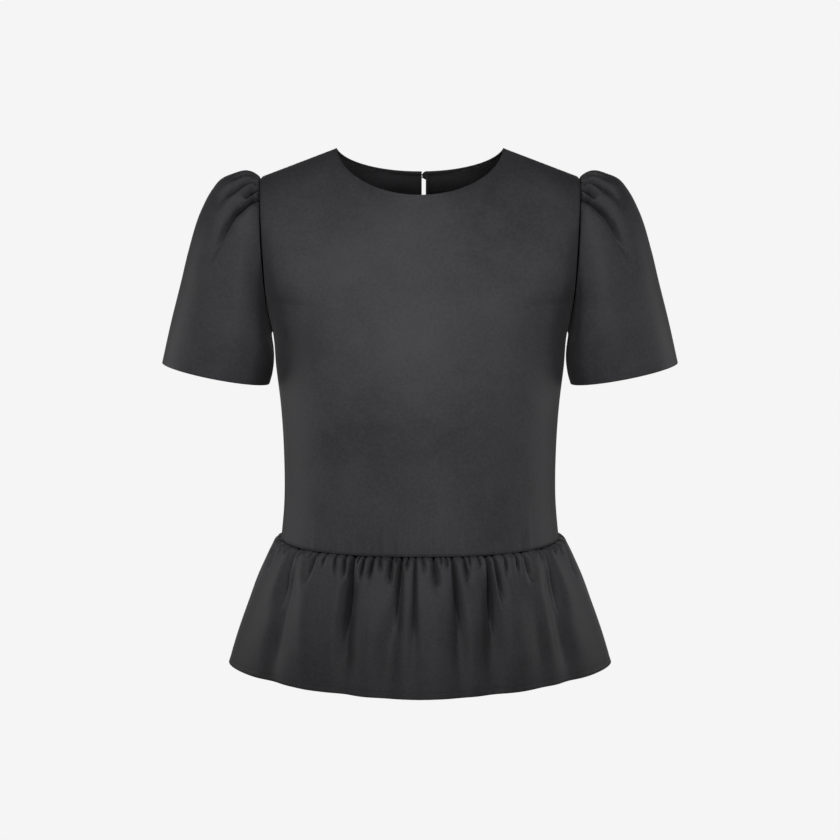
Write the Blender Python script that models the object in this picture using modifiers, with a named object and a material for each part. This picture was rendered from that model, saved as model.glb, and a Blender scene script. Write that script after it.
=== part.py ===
"""Short-sleeved blouse of silk with a round neck, gathered sleeve heads and a gathered peplum.

The blouse hangs filled out and hollow, as it is worn. Its front faces -Y, its left side is at +X and +Z
is up. The origin is midway between the two high shoulder points, where the shoulder seams meet the neck.
Every piece of cloth is a wall through points worked out from the sizes below. Lengths are in metres.
"""

import math

import bpy
import numpy as np
from mathutils import Vector

COLLECTION = "silk_blouse"

# Cloth walls and seams
WALL = 0.0012
GATHERED_WALL = 0.0020
SEAM_GAP = 0.0003
SHARP_EDGE = math.radians(50.0)

# Steps over which a form's slopes are measured: a share or an angle, and a length
SLOPE_STEP = 0.0005
WIDE_SLOPE_STEP = 0.002
DENSE_STEPS = 8000

# Body sections: all are rounded ovals about the side seams' plane
SIDE_Y = 0.005
BODY_SQUARENESS = 2.3
HEM_SQUARENESS = 1.65
WAIST_Z = -0.4207
UNDERARM_Z = -0.196
NOTCH_Z = -0.160
NOTCH_ANGLE = math.radians(76.0)

# height, half width, depth to the front, depth to the back
BODICE_SECTIONS = (
    (-0.4207, 0.1500, 0.1190, 0.0950),
    (-0.3803, 0.1466, 0.1185, 0.0930),
    (-0.3253, 0.1470, 0.1215, 0.0945),
    (-0.2707, 0.1506, 0.1290, 0.1000),
    (-0.2326, 0.1550, 0.1315, 0.1050),
    (-0.1960, 0.1583, 0.1300, 0.1080),
    (-0.1600, 0.1690, 0.1235, 0.1090),
)

# Shoulders and neck
NECK_HALF_WIDTH = 0.0889
SHOULDER_TIP = (0.1698, 0.0, -0.0307)
FRONT_NECK_DEPTH = 0.075
FRONT_NECK_DROP = 0.0464
BACK_NECK_DEPTH = 0.055
BACK_NECK_DROP = 0.0269
NECK_ROUNDING = 0.14
NECK_SHARE = 0.56
CORNER_SOFTNESS = 0.40
CORNER_SAMPLES = (-1.0, -0.75, -0.5, -0.25, 0.0, 0.25, 0.5, 0.75, 1.0)

# How steeply a panel leaves its upper chest line and reaches its top edge: forward is positive
CHEST_RISE = 0.125
ARMHOLE_START = (0.010, 0.090, 0.120)
NECK_CENTRE_END = (0.0, -0.050, 0.105)
SHOULDER_ROLL_AT_NECK = 0.100
SHOULDER_ROLL_AT_TIP = 0.170
ARMHOLE_BLEND_FROM = 0.55
ARMHOLE_STEPS = 60

# Bodice mesh: how finely the panels are cut up
NECK_COLUMNS = 7
SHOULDER_COLUMNS = 5
SIDE_COLUMNS = 3
LOWER_ROWS = 8
UPPER_ROWS = (0.17, 0.34, 0.50, 0.66, 0.80, 0.91, 1.0)

# Slit down the centre back
SLIT_X = 0.0041
SLIT_WIDTH = 0.0052
SLIT_FOOT_WIDTH = 0.0022
SLIT_FOOT_SHARE = 0.34
# column places that are searched for the slit's edges
SLIT_SEARCH = np.linspace(-0.2, 0.2, 401)

# Sleeves, from the armhole (0) to the hem (1):
# share, upper line x and z, underarm line x and z, half depth
SLEEVE_SECTIONS = (
    (0.000, 0.1701, -0.0307, 0.1587, -0.1958, 0.0560),
    (0.060, 0.1840, -0.0256, 0.1598, -0.1992, 0.0590),
    (0.117, 0.1980, -0.0282, 0.1600, -0.2030, 0.0615),
    (0.175, 0.2117, -0.0338, 0.1597, -0.2068, 0.0635),
    (0.232, 0.2214, -0.0445, 0.1592, -0.2103, 0.0645),
    (0.330, 0.2335, -0.0658, 0.1580, -0.2160, 0.0650),
    (0.508, 0.2480, -0.1086, 0.1574, -0.2262, 0.0635),
    (0.640, 0.2561, -0.1408, 0.1580, -0.2335, 0.0620),
    (0.816, 0.2672, -0.1839, 0.1597, -0.2435, 0.0590),
    (1.000, 0.2777, -0.2293, 0.1624, -0.2527, 0.0545),
)
SLEEVE_SPREAD = 3.0
# cloth share round the sleeve from the shoulder tip, and the share of the armhole seam it is sewn to
HEAD_FULLNESS = (
    (0.00, 0.000),
    (0.06, 0.019),
    (0.12, 0.040),
    (0.17, 0.060),
    (0.25, 0.150),
    (0.37, 0.322),
    (0.50, 0.500),
)
HEAD_SHARE = 0.17
HEAD_GATHERS = 14
# share down the sleeve and height of the gathers
HEAD_WAVE = (
    (0.000, 0.0003),
    (0.025, 0.0009),
    (0.060, 0.0014),
    (0.120, 0.0014),
    (0.200, 0.0008),
    (0.330, 0.0003),
    (0.500, 0.0000),
    (3.000, 0.0000),
)
# where a sleeve's large folds run: cloth share at the head and lower down, first and last share down
# the sleeve, half width as a cloth share, height (a trough is negative)
SLEEVE_FOLDS = (
    (0.118, 0.118, 0.02, 0.60, 0.016, -0.0035),
    (0.086, 0.086, 0.02, 0.42, 0.014, 0.0025),
    (0.160, 0.150, 0.05, 0.50, 0.016, 0.0020),
    (-0.110, -0.115, 0.02, 0.55, 0.016, -0.0032),
    (-0.078, -0.075, 0.02, 0.40, 0.014, 0.0024),
    (-0.150, -0.155, 0.05, 0.48, 0.016, 0.0018),
)
# share down the sleeve and how many columns a row skips
SLEEVE_ROWS = (
    (0.000, 1),
    (0.016, 1),
    (0.050, 1),
    (0.105, 1),
    (0.175, 2),
    (0.250, 2),
    (0.360, 4),
    (0.520, 4),
    (0.740, 4),
    (1.000, 4),
)
SLEEVE_PLAIN_COLUMNS = 24
# below 1, a sleeve's fold is deepest in its upper part
SLEEVE_FOLD_SKEW = 0.6

# Peplum: drop below the waist seam, half width, depth to the front, depth to the back
PEPLUM_SECTIONS = (
    (0.0000, 0.1506, 0.1196, 0.0956),
    (0.0040, 0.1545, 0.1232, 0.0990),
    (0.0150, 0.1615, 0.1290, 0.1046),
    (0.0370, 0.1743, 0.1375, 0.1135),
    (0.0710, 0.1882, 0.1485, 0.1262),
    (0.1040, 0.2001, 0.1580, 0.1382),
    (0.1401, 0.2111, 0.1675, 0.1500),
)
PEPLUM_LENGTH = 0.1401
WAIST_GATHERS = 44
# drop below the waist seam and height of the gathers
WAIST_WAVE = (
    (0.000, 0.0003),
    (0.004, 0.0014),
    (0.010, 0.0017),
    (0.018, 0.0014),
    (0.030, 0.0008),
    (0.045, 0.0004),
    (0.070, 0.0000),
    (0.420, 0.0000),
)
# large folds: angle from the centre at the waist and at the hem in degrees, drops between which the
# fold grows, half width in degrees at the waist and at the hem, height at the hem (a trough is negative)
FRONT_FOLDS = (
    (-56.4, -60.5, 0.004, 0.050, 2.2, 5.0, -0.0050),
    (-51.0, -44.0, 0.010, 0.070, 2.6, 5.5, 0.0040),
    (-30.0, -29.0, 0.004, 0.040, 2.4, 5.0, -0.0060),
    (-21.0, -20.0, 0.015, 0.080, 2.6, 4.5, 0.0030),
    (-11.0, -12.0, 0.012, 0.090, 2.4, 4.6, -0.0042),
    (-2.6, -2.6, 0.008, 0.080, 1.5, 3.0, -0.0020),
    (6.0, 6.5, 0.015, 0.090, 2.6, 4.4, 0.0028),
    (15.2, 15.6, 0.004, 0.080, 2.2, 4.2, -0.0040),
    (30.0, 27.5, 0.004, 0.050, 2.2, 5.4, -0.0056),
    (40.0, 38.0, 0.012, 0.080, 3.0, 6.0, 0.0036),
    (48.0, 49.0, 0.020, 0.100, 2.4, 4.4, -0.0020),
    (56.6, 61.0, 0.004, 0.050, 2.2, 5.0, -0.0052),
)
BACK_FOLDS = (
    (-58.0, -61.0, 0.004, 0.060, 2.4, 5.2, -0.0048),
    (-45.0, -42.0, 0.012, 0.080, 3.0, 6.0, 0.0036),
    (-33.0, -31.0, 0.004, 0.050, 2.4, 5.0, -0.0056),
    (-19.0, -19.5, 0.015, 0.090, 2.6, 4.6, 0.0030),
    (-8.0, -9.0, 0.004, 0.060, 2.2, 4.4, -0.0044),
    (5.0, 5.5, 0.010, 0.090, 2.6, 4.6, 0.0028),
    (17.0, 17.5, 0.004, 0.070, 2.4, 4.6, -0.0046),
    (27.0, 28.0, 0.015, 0.090, 2.8, 5.0, 0.0032),
    (38.0, 37.0, 0.004, 0.050, 2.3, 5.0, -0.0054),
    (55.0, 59.0, 0.006, 0.060, 2.4, 5.0, -0.0048),
)
# drop below the waist seam and how many columns a row skips
PEPLUM_ROWS = (
    (0.0000, 1),
    (0.0035, 1),
    (0.0090, 1),
    (0.0170, 1),
    (0.0280, 2),
    (0.0420, 2),
    (0.0620, 4),
    (0.0880, 4),
    (0.1140, 4),
    (0.1401, 4),
)

# How uneven the gathers are. Each row is a height and a pace.
# Shift along the run, in gathers, with waves to a run
GATHER_SHIFT = ((0.70, 2.0), (0.42, 5.0))
# Difference in height and in length, with radians to a gather
GATHER_HEIGHT = ((0.28, 1.9), (0.20, 2.6))
GATHER_REACH = ((0.30, 1.37), (0.25, 3.1))
FLAT_GATHERS = 1.5
COLUMNS_PER_GATHER = 4

# Button and loop at the top of the slit
BUTTON_BELOW_NECK = 0.0060
BUTTON_X = 0.0077
BUTTON_RADIUS = 0.0055
BUTTON_RISE = 0.0022
BUTTON_STEPS = 20
BUTTON_DOME_STEPS = 4
SHANK_RADIUS = 0.0010
SHANK_LENGTH = 0.0016
LOOP_RADIUS = 0.0005
LOOP_CLEARANCE = 0.0003
LOOP_END_X = -0.0020
LOOP_TURN_STEPS = 6
MERGE_DISTANCE = 0.00005

SILK = (0.0475, 0.0475, 0.0500, 1.0)
SILK_ROUGHNESS = 0.55
CORD_ROUGHNESS = 0.65


def smooth(table, column, at):
    """Reads a smooth curve through one column of a table at the given values of its first column."""
    keys = np.array([row[0] for row in table])
    values = np.array([row[column] for row in table])
    slopes = np.gradient(values, keys)
    low = np.clip(np.searchsorted(keys, at, side="right") - 1, 0, len(keys) - 2)
    span = keys[low + 1] - keys[low]
    t = (at - keys[low]) / span
    rising = t * t * (3 - 2 * t)
    leaving = t * (1 - t) ** 2 * span * slopes[low]
    reaching = t * t * (t - 1) * span * slopes[low + 1]
    return (1 - rising) * values[low] + rising * values[low + 1] + leaving + reaching


def ease(share):
    """Rises smoothly from 0 to 1 as the share does."""
    share = np.clip(share, 0.0, 1.0)
    return share * share * (3 - 2 * share)


def point(x, y, z):
    """Joins coordinates of any matching shapes into points."""
    return np.stack(np.broadcast_arrays(x, y, z), axis=-1)


def oval(angle, half_width, front, back, squareness):
    """X and Y on a rounded section; angle 0 is the centre front and a right angle the left side."""
    forward = np.cos(angle)
    leftward = np.sin(angle)
    depth = np.where(forward > 0, front, back)
    size = np.abs(forward / depth) ** squareness + np.abs(leftward / half_width) ** squareness
    radius = size ** (-1 / squareness)
    return radius * leftward, SIDE_Y - radius * forward


def body_point(angle, height):
    """Point on the bodice's round form below the armholes' notches."""
    sizes = [smooth(BODICE_SECTIONS, column, height) for column in (1, 2, 3)]
    x, y = oval(angle, *sizes, BODY_SQUARENESS)
    return point(x, y, height)


def from_centre(angle):
    """Angle from the centre front or the centre back, whichever is nearer."""
    return np.abs((angle + math.pi / 2) % math.pi - math.pi / 2)


def lower_bodice(angle, rise):
    """Point between the waist seam (0) and the upper chest line, or the armhole below it (1)."""
    past_notch = (from_centre(angle) - NOTCH_ANGLE) / (math.pi / 2 - NOTCH_ANGLE)
    left_to_side = 1 - np.clip(past_notch, 0.0, 1.0)
    top = UNDERARM_Z + (NOTCH_Z - UNDERARM_Z) * left_to_side**2
    return body_point(angle, WAIST_Z + rise * (top - WAIST_Z))


def neck_drop(turn):
    """Share of the neck's drop at an angle from the centre, rounded over the shoulder."""

    def rounded(value):
        return np.sqrt(value**2 + NECK_ROUNDING**2) - NECK_ROUNDING

    return rounded(np.cos(turn)) / rounded(1.0)


def top_edge(column, facing):
    """Point on a bodice panel's neck and shoulder edge, and the direction in which the cloth reaches it."""
    side = np.sign(column)
    share = np.abs(column)
    turn = np.clip(share / NECK_SHARE, 0.0, 1.0) * math.pi / 2
    out = np.maximum((share - NECK_SHARE) / (1 - NECK_SHARE), 0.0)
    depth, drop = (FRONT_NECK_DEPTH, FRONT_NECK_DROP) if facing < 0 else (BACK_NECK_DEPTH, BACK_NECK_DROP)
    x = NECK_HALF_WIDTH * np.sin(turn) + out * (SHOULDER_TIP[0] - NECK_HALF_WIDTH)
    y = facing * depth * np.cos(turn)
    z = out * SHOULDER_TIP[2] - drop * neck_drop(turn)
    roll = SHOULDER_ROLL_AT_NECK + out * (SHOULDER_ROLL_AT_TIP - SHOULDER_ROLL_AT_NECK)
    over = point(0.0, -facing * roll, 0.0)
    up = point(0.0, facing * NECK_CENTRE_END[1], NECK_CENTRE_END[2])
    reaching = up * np.cos(turn)[..., None] + over * np.sin(turn)[..., None]
    return point(side * x, y, z), reaching


def upper_bodice(column, rise, facing):
    """Point between the upper chest line (0) and the neck or shoulder edge (1).

    The column runs from 0 at the centre to 1 at the left armhole and -1 at the right one. Facing is -1
    for the front panel and 1 for the back. The corner where the neck meets the shoulder seam softens
    down the panel, because the edge is averaged over more columns there.
    """
    top = 0.0
    reaching = 0.0
    for offset in CORNER_SAMPLES:
        edge, direction = top_edge(column + offset * CORNER_SOFTNESS * (1 - rise), facing)
        top = top + edge / len(CORNER_SAMPLES)
        reaching = reaching + direction / len(CORNER_SAMPLES)

    side = np.sign(column)
    angle = column * NOTCH_ANGLE if facing < 0 else math.pi - column * NOTCH_ANGLE
    start = body_point(angle, np.full_like(column, NOTCH_Z))
    below = body_point(angle, np.full_like(column, NOTCH_Z - SLOPE_STEP))
    climb = (start - below) / SLOPE_STEP * CHEST_RISE
    seam = point(side * ARMHOLE_START[0], facing * ARMHOLE_START[1], ARMHOLE_START[2])
    near_seam = ease((np.abs(column) - ARMHOLE_BLEND_FROM) / (1 - ARMHOLE_BLEND_FROM))[..., None]
    leaving = climb * (1 - near_seam) + seam * near_seam

    t = rise[..., None]
    rising = t * t * (3 - 2 * t)
    return (1 - rising) * start + rising * top + t * (1 - t) ** 2 * leaving + t * t * (t - 1) * reaching


def armhole_seam():
    """Dense line round the left armhole: from the shoulder tip down the front and up the back."""
    steps = np.linspace(0.0, 1.0, ARMHOLE_STEPS)
    edge = np.ones_like(steps)
    below = NOTCH_ANGLE + steps * (math.pi - 2 * NOTCH_ANGLE)
    front = upper_bodice(edge, 1 - steps, -1)
    under = lower_bodice(below, edge)
    back = upper_bodice(edge, steps, 1)
    return np.concatenate([front, under[1:-1], back])


ARMHOLE = armhole_seam()
ARMHOLE_RUN = np.concatenate([[0.0], np.cumsum(np.linalg.norm(np.diff(ARMHOLE, axis=0), axis=1))])


def armhole_point(share):
    """Point on the left armhole seam at a share of its length from the shoulder tip."""
    run = (share % 1.0) * ARMHOLE_RUN[-1]
    seam = point(*[np.interp(run, ARMHOLE_RUN, ARMHOLE[:, axis]) for axis in range(3)])
    return seam + np.array([SEAM_GAP, 0.0, 0.0])


def sleeve_ring(cloth, along):
    """Point on the plain ring of the left sleeve, by cloth share round it and share down it."""
    turn = 2 * math.pi * cloth
    over_x, over_z, under_x, under_z, depth = (smooth(SLEEVE_SECTIONS, c, along) for c in range(1, 6))
    high = (1 + np.cos(turn)) / 2
    x = under_x + high * (over_x - under_x)
    z = under_z + high * (over_z - under_z)
    return point(x, -depth * np.sin(turn), z)


def sleeve_form(cloth, along):
    """Point on the left sleeve without its gathers: it leaves the seam and spreads onto the plain rings."""
    around = (cloth + 0.5) % 1.0 - 0.5
    sewn = np.sign(around) * smooth(HEAD_FULLNESS, 1, np.abs(around))
    pull = armhole_point(sewn) - sleeve_ring(cloth, np.zeros_like(along))
    return sleeve_ring(cloth, along) + pull * ((1 - along) ** SLEEVE_SPREAD)[..., None]


def waves(table, at, late=0.0):
    """Sum of sine waves at the given places, from rows of height and pace; late shifts all but the first."""
    total = 0.0
    for number, (height, pace) in enumerate(table):
        total = total + height * np.sin(pace * at + late * number)
    return total


def gather_phase(share, gathers):
    """Phase of the gathers at a share of their run, with pitches that vary as gathered cloth does."""
    shift = waves(GATHER_SHIFT, 2 * math.pi * share) * np.sin(math.pi * share)
    return 2 * math.pi * (gathers * share + shift)


def gather_strength(share, gathers):
    """Factor on the height of the gathers: neighbours differ, and the ends lie flat."""
    count = gathers * share
    flat_end = ease(count / FLAT_GATHERS) * ease((gathers - count) / FLAT_GATHERS)
    return (1 + waves(GATHER_HEIGHT, count, 1.0)) * flat_end


def gather_length(share, gathers):
    """Factor on how far the gathers run from their seam."""
    return 1 + waves(GATHER_REACH, gathers * share, 2.0)


def gather_columns(gathers):
    """Shares of a run of gathers at which its columns stand: the same places on every gather."""
    dense = np.linspace(0.0, 1.0, DENSE_STEPS + 1)
    turns = (np.arange(COLUMNS_PER_GATHER * gathers) + 0.5) / COLUMNS_PER_GATHER
    return np.interp(2 * math.pi * turns, gather_phase(dense, gathers), dense)


def sleeve_height(cloth, along):
    """How far the gathers and large folds stand off the left sleeve's form."""
    around = (cloth + 0.5) % 1.0 - 0.5
    share = np.clip((around + HEAD_SHARE) / (2 * HEAD_SHARE), 0.0, 1.0)
    wave = np.sin(gather_phase(share, HEAD_GATHERS)) * gather_strength(share, HEAD_GATHERS)
    height = wave * smooth(HEAD_WAVE, 1, along / gather_length(share, HEAD_GATHERS))
    for at_head, lower_down, first, last, half_width, rise in SLEEVE_FOLDS:
        passed = np.clip((along - first) / (last - first), 0.0, 1.0)
        middle = at_head + (lower_down - at_head) * passed
        length = np.sin(math.pi * passed**SLEEVE_FOLD_SKEW) ** 2
        height = height + rise * length * np.exp(-(((around - middle) / half_width) ** 2))
    return height


def peplum_form(angle, drop):
    """Point on the peplum without its gathers, by angle from the centre front and drop from the seam."""
    sizes = [smooth(PEPLUM_SECTIONS, column, drop) for column in (1, 2, 3)]
    squareness = BODY_SQUARENESS + (HEM_SQUARENESS - BODY_SQUARENESS) * drop / PEPLUM_LENGTH
    x, y = oval(angle, *sizes, squareness)
    return point(x, y, WAIST_Z - SEAM_GAP - drop * (1 - SEAM_GAP / PEPLUM_LENGTH))


def peplum_height(angle, drop, middle, folds):
    """How far the gathers and large folds stand off a peplum panel centred on the middle angle."""
    share = np.clip((angle - middle) / math.pi + 0.5, 0.0, 1.0)
    wave = np.sin(gather_phase(share, WAIST_GATHERS)) * gather_strength(share, WAIST_GATHERS)
    height = wave * smooth(WAIST_WAVE, 1, drop / gather_length(share, WAIST_GATHERS))
    turned = np.degrees(angle - middle)
    for at_waist, at_hem, first, full, waist_width, hem_width, rise in folds:
        down = drop / PEPLUM_LENGTH
        centre = at_waist + (at_hem - at_waist) * down
        half_width = waist_width + (hem_width - waist_width) * down
        grown = ease((drop - first) / (full - first))
        height = height + rise * grown * np.exp(-(((turned - centre) / half_width) ** 2))
    return height


def outward(form, across, along, across_step, along_step, ends, turn_over=1):
    """Unit vectors that point out of a form of two parameters, from small steps inside its ends."""
    low, high = ends
    side = form(across + across_step, along) - form(across - across_step, along)
    before = form(across, np.clip(along - along_step, low, high))
    after = form(across, np.clip(along + along_step, low, high))
    normal = np.cross(side, after - before) * turn_over
    return normal / np.linalg.norm(normal, axis=-1, keepdims=True)


def stitch(low, high):
    """Triangles between two rows of (place, vertex) pairs that start and end at the same places."""
    triangles = []
    i = 0
    j = 0
    while i < len(low) - 1 or j < len(high) - 1:
        low_is_next = j == len(high) - 1 or (i < len(low) - 1 and low[i + 1][0] <= high[j + 1][0])
        if low_is_next:
            triangles.append((low[i][1], low[i + 1][1], high[j][1]))
            i += 1
        else:
            triangles.append((low[i][1], high[j + 1][1], high[j][1]))
            j += 1
    return triangles


class Wall:
    """A piece of cloth: outer points, inner points behind them, and the triangles between its rows."""

    def __init__(self, thickness):
        self.thickness = thickness
        self.outer = []
        self.inner = []
        self.triangles = []

    def row(self, places, points, normals):
        """Adds one row of points; the inner side keeps its distance from them along the normals."""
        first = len(self.outer)
        self.outer.extend(points)
        self.inner.extend(points - normals * self.thickness)
        return [(place, first + i) for i, place in enumerate(places)]

    def join(self, low, high):
        """Fills the strip between two rows, the second of them above the first as seen from outside."""
        self.triangles.extend(stitch(low, high))

    def build(self, name, mirrored=False):
        """Makes the closed mesh object: both sides, and rims along every open edge."""
        count = len(self.outer)
        edges = set()
        for a, b, c in self.triangles:
            edges.update(((a, b), (b, c), (c, a)))
        faces = [tuple(t) for t in self.triangles]
        faces += [(c + count, b + count, a + count) for a, b, c in self.triangles]
        for a, b in sorted(edges):
            if (b, a) not in edges:
                faces.append((b, a, a + count, b + count))
        corners = np.array(self.outer + self.inner)
        if mirrored:
            corners = corners * np.array([-1.0, 1.0, 1.0])
            faces = [tuple(reversed(face)) for face in faces]
        mesh = bpy.data.meshes.new(name)
        mesh.from_pydata([tuple(c) for c in corners], [], faces)
        mesh.shade_smooth()
        mesh.set_sharp_from_angle(angle=SHARP_EDGE)
        return add_object(name, mesh, silk_material(name, SILK_ROUGHNESS))


def silk_material(name, roughness):
    """Dark grey silk with a soft gloss."""
    material = bpy.data.materials.new(f"{name}_silk")
    material.use_nodes = True
    shader = material.node_tree.nodes["Principled BSDF"]
    shader.inputs["Base Color"].default_value = SILK
    shader.inputs["Roughness"].default_value = roughness
    shader.inputs["Metallic"].default_value = 0.0
    return material


def add_object(name, data, material):
    """Puts a named object with its material into the blouse's collection."""
    data.materials.append(material)
    item = bpy.data.objects.new(name, data)
    bpy.data.collections[COLLECTION].objects.link(item)
    return item


def bodice_columns():
    """Places of the columns between the centre and one side seam: up to 1 the notch, 2 the side seam."""
    neck = np.linspace(0.0, NECK_SHARE, NECK_COLUMNS + 1)
    shoulder = np.linspace(NECK_SHARE, 1.0, SHOULDER_COLUMNS + 1)[1:]
    side = np.linspace(1.0, 2.0, SIDE_COLUMNS + 1)[1:]
    return np.concatenate([neck, shoulder, side])


def column_angle(place, facing):
    """Angle round the body of a column place; the side seam's gap is left at both ends."""
    share = np.abs(place)
    side_limit = math.pi / 2 - SEAM_GAP / 2 / BODICE_SECTIONS[3][1]
    past = np.clip(share - 1, 0.0, 1.0)
    angle = np.minimum(share, 1.0) * NOTCH_ANGLE + past * (side_limit - NOTCH_ANGLE)
    angle = angle * np.sign(place)
    return angle if facing < 0 else math.pi - angle


def lower_row(wall, places, share, facing):
    """Adds a row of a bodice panel at a share of the height from the waist seam to the armholes."""
    rise = np.full_like(places, share)
    angle = column_angle(places, facing)
    normals = outward(lower_bodice, angle, rise, SLOPE_STEP, SLOPE_STEP, (0.0, 1.0))
    return wall.row(-facing * places, lower_bodice(angle, rise), normals)


def upper_row(wall, places, share, facing):
    """Adds a row of a bodice panel between the armholes; the shoulder seam keeps half its gap."""

    def form(column, rise):
        return upper_bodice(column, rise, facing)

    on_shoulder = np.abs(places) > NECK_SHARE - SLOPE_STEP
    top = np.where(on_shoulder, 1 - SEAM_GAP / 2 / SHOULDER_ROLL_AT_NECK, 1.0)
    rise = np.minimum(share, top)
    normals = outward(form, places, rise, SLOPE_STEP, SLOPE_STEP, (0.0, 1.0), -facing)
    return wall.row(-facing * places, form(places, rise), normals)


def span(row, first, last):
    """The part of a row between two places."""
    return [pair for pair in row if first <= pair[0] <= last]


def place_at(x, share):
    """Column place on the back panel, between the armholes, where it is x from the centre."""
    across = upper_bodice(SLIT_SEARCH, np.full_like(SLIT_SEARCH, share), 1)[:, 0]
    return float(np.interp(x, across, SLIT_SEARCH))


def bodice_front():
    """Front bodice: one panel from the waist seam to the neck and shoulders."""
    half = bodice_columns()
    places = np.concatenate([-half[:0:-1], half])
    between = places[np.abs(places) <= 1.0]
    wall = Wall(WALL)
    rows = [lower_row(wall, places, i / LOWER_ROWS, -1) for i in range(LOWER_ROWS + 1)]
    rows += [upper_row(wall, between, share, -1) for share in UPPER_ROWS]
    for low, high in zip(rows, rows[1:]):
        wall.join(span(low, high[0][0], high[-1][0]), high)
    return wall.build("bodice_front")


def bodice_back():
    """Back bodice: one panel with a slit that runs down its centre from the neck."""
    half = bodice_columns()
    left_side = half[:0:-1]
    right_side = -half[1:]
    wall = Wall(WALL)
    rows = []
    foot = [place_at(SLIT_X + side * SLIT_FOOT_WIDTH / 2, 0.0) for side in (1, -1)]
    for i in range(LOWER_ROWS + 1):
        places = np.concatenate([left_side, foot, right_side])
        rows.append(lower_row(wall, places, i / LOWER_ROWS, 1))
    left_side = left_side[left_side <= 1.0]
    right_side = right_side[right_side >= -1.0]
    for share in UPPER_ROWS:
        width = SLIT_WIDTH if share > SLIT_FOOT_SHARE else SLIT_FOOT_WIDTH
        slit = [place_at(SLIT_X + side * width / 2, share) for side in (1, -1)]
        places = np.concatenate([left_side, slit, right_side])
        rows.append(upper_row(wall, places, share, 1))
        low, high = rows[-2:]
        if share <= SLIT_FOOT_SHARE:
            wall.join(span(low, high[0][0], high[-1][0]), high)
        else:
            split = len(left_side) + 1
            wall.join(low[:split], high[:split])
            wall.join(low[split:], high[split:])
    for low, high in zip(rows[:LOWER_ROWS], rows[1:]):
        wall.join(low, high)
    return wall.build("bodice_back")


def sleeve_places():
    """Cloth shares of the sleeve's columns: as many to each gather over the head, wider ones under it."""
    head = (gather_columns(HEAD_GATHERS) * 2 - 1) * HEAD_SHARE
    plain = np.linspace(HEAD_SHARE, 1 - HEAD_SHARE, SLEEVE_PLAIN_COLUMNS + 1)
    return np.concatenate([head, plain[:-1]])


def sleeve(name, mirrored):
    """A sleeve: a tube from the armhole seam to the hem, gathered over its head."""
    places = sleeve_places()
    wall = Wall(GATHERED_WALL)
    rows = []
    for share, skip in SLEEVE_ROWS:
        cloth = places[::skip]
        along = np.full_like(cloth, share)
        normals = outward(sleeve_form, cloth, along, WIDE_SLOPE_STEP, WIDE_SLOPE_STEP, (0.0, 1.0))
        points = sleeve_form(cloth, along) + normals * sleeve_height(cloth, along)[:, None]
        row = wall.row(cloth, points, normals)
        rows.append(row + [(row[0][0] + 1.0, row[0][1])])
    for low, high in zip(rows, rows[1:]):
        wall.join(low, high)
    return wall.build(name, mirrored)


def peplum(name, middle, folds):
    """A peplum panel between the side seams, gathered into the waist seam."""
    shares = gather_columns(WAIST_GATHERS)
    margin = SEAM_GAP / 2 / PEPLUM_SECTIONS[0][1]
    wall = Wall(GATHERED_WALL)
    rows = []
    for drop, skip in PEPLUM_ROWS:
        picked = np.concatenate([[0.0], shares[::skip], [1.0]])
        angle = middle + np.clip((picked - 0.5) * math.pi, margin - math.pi / 2, math.pi / 2 - margin)
        drops = np.full_like(angle, drop)
        normals = outward(peplum_form, angle, drops, WIDE_SLOPE_STEP, SLOPE_STEP, (0.0, PEPLUM_LENGTH), -1)
        height = peplum_height(angle, drops, middle, folds)
        points = peplum_form(angle, drops) + normals * height[:, None]
        rows.append(wall.row(picked, points, normals))
    for high, low in zip(rows, rows[1:]):
        wall.join(low, high)
    return wall.build(name)


def back_surface(x, below):
    """Point and outward direction on the back panel, x from the centre and this far below the neck."""
    share = 1 - below / math.hypot(*NECK_CENTRE_END)
    place = np.array([place_at(x, share)])
    rise = np.array([share])

    def form(column, height):
        return upper_bodice(column, height, 1)

    normal = outward(form, place, rise, SLOPE_STEP, SLOPE_STEP, (0.0, 1.0), -1)[0]
    return Vector(form(place, rise)[0]), Vector(normal)


def neck_button():
    """Domed button on a short shank, turned about its axis and set square to the back panel."""
    back = SEAM_GAP + SHANK_LENGTH
    profile = [(0.0, back + BUTTON_RISE)]
    for i in range(1, BUTTON_DOME_STEPS + 1):
        turn = math.pi / 2 * i / BUTTON_DOME_STEPS
        profile.append((BUTTON_RADIUS * math.sin(turn), back + BUTTON_RISE * math.cos(turn)))
    profile += [(SHANK_RADIUS, back), (SHANK_RADIUS, SEAM_GAP), (0.0, SEAM_GAP)]
    mesh = bpy.data.meshes.new("neck_button")
    edges = [(i, i + 1) for i in range(len(profile) - 1)]
    mesh.from_pydata([(radius, 0.0, height) for radius, height in profile], edges, [])
    button = add_object("neck_button", mesh, silk_material("neck_button", SILK_ROUGHNESS))
    screw = button.modifiers.new("turned", "SCREW")
    screw.steps = BUTTON_STEPS
    screw.render_steps = BUTTON_STEPS
    screw.use_merge_vertices = True
    screw.merge_threshold = MERGE_DISTANCE
    place, normal = back_surface(BUTTON_X, BUTTON_BELOW_NECK)
    button.location = place
    button.rotation_euler = normal.to_track_quat("Z", "Y").to_euler()
    return button


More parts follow.
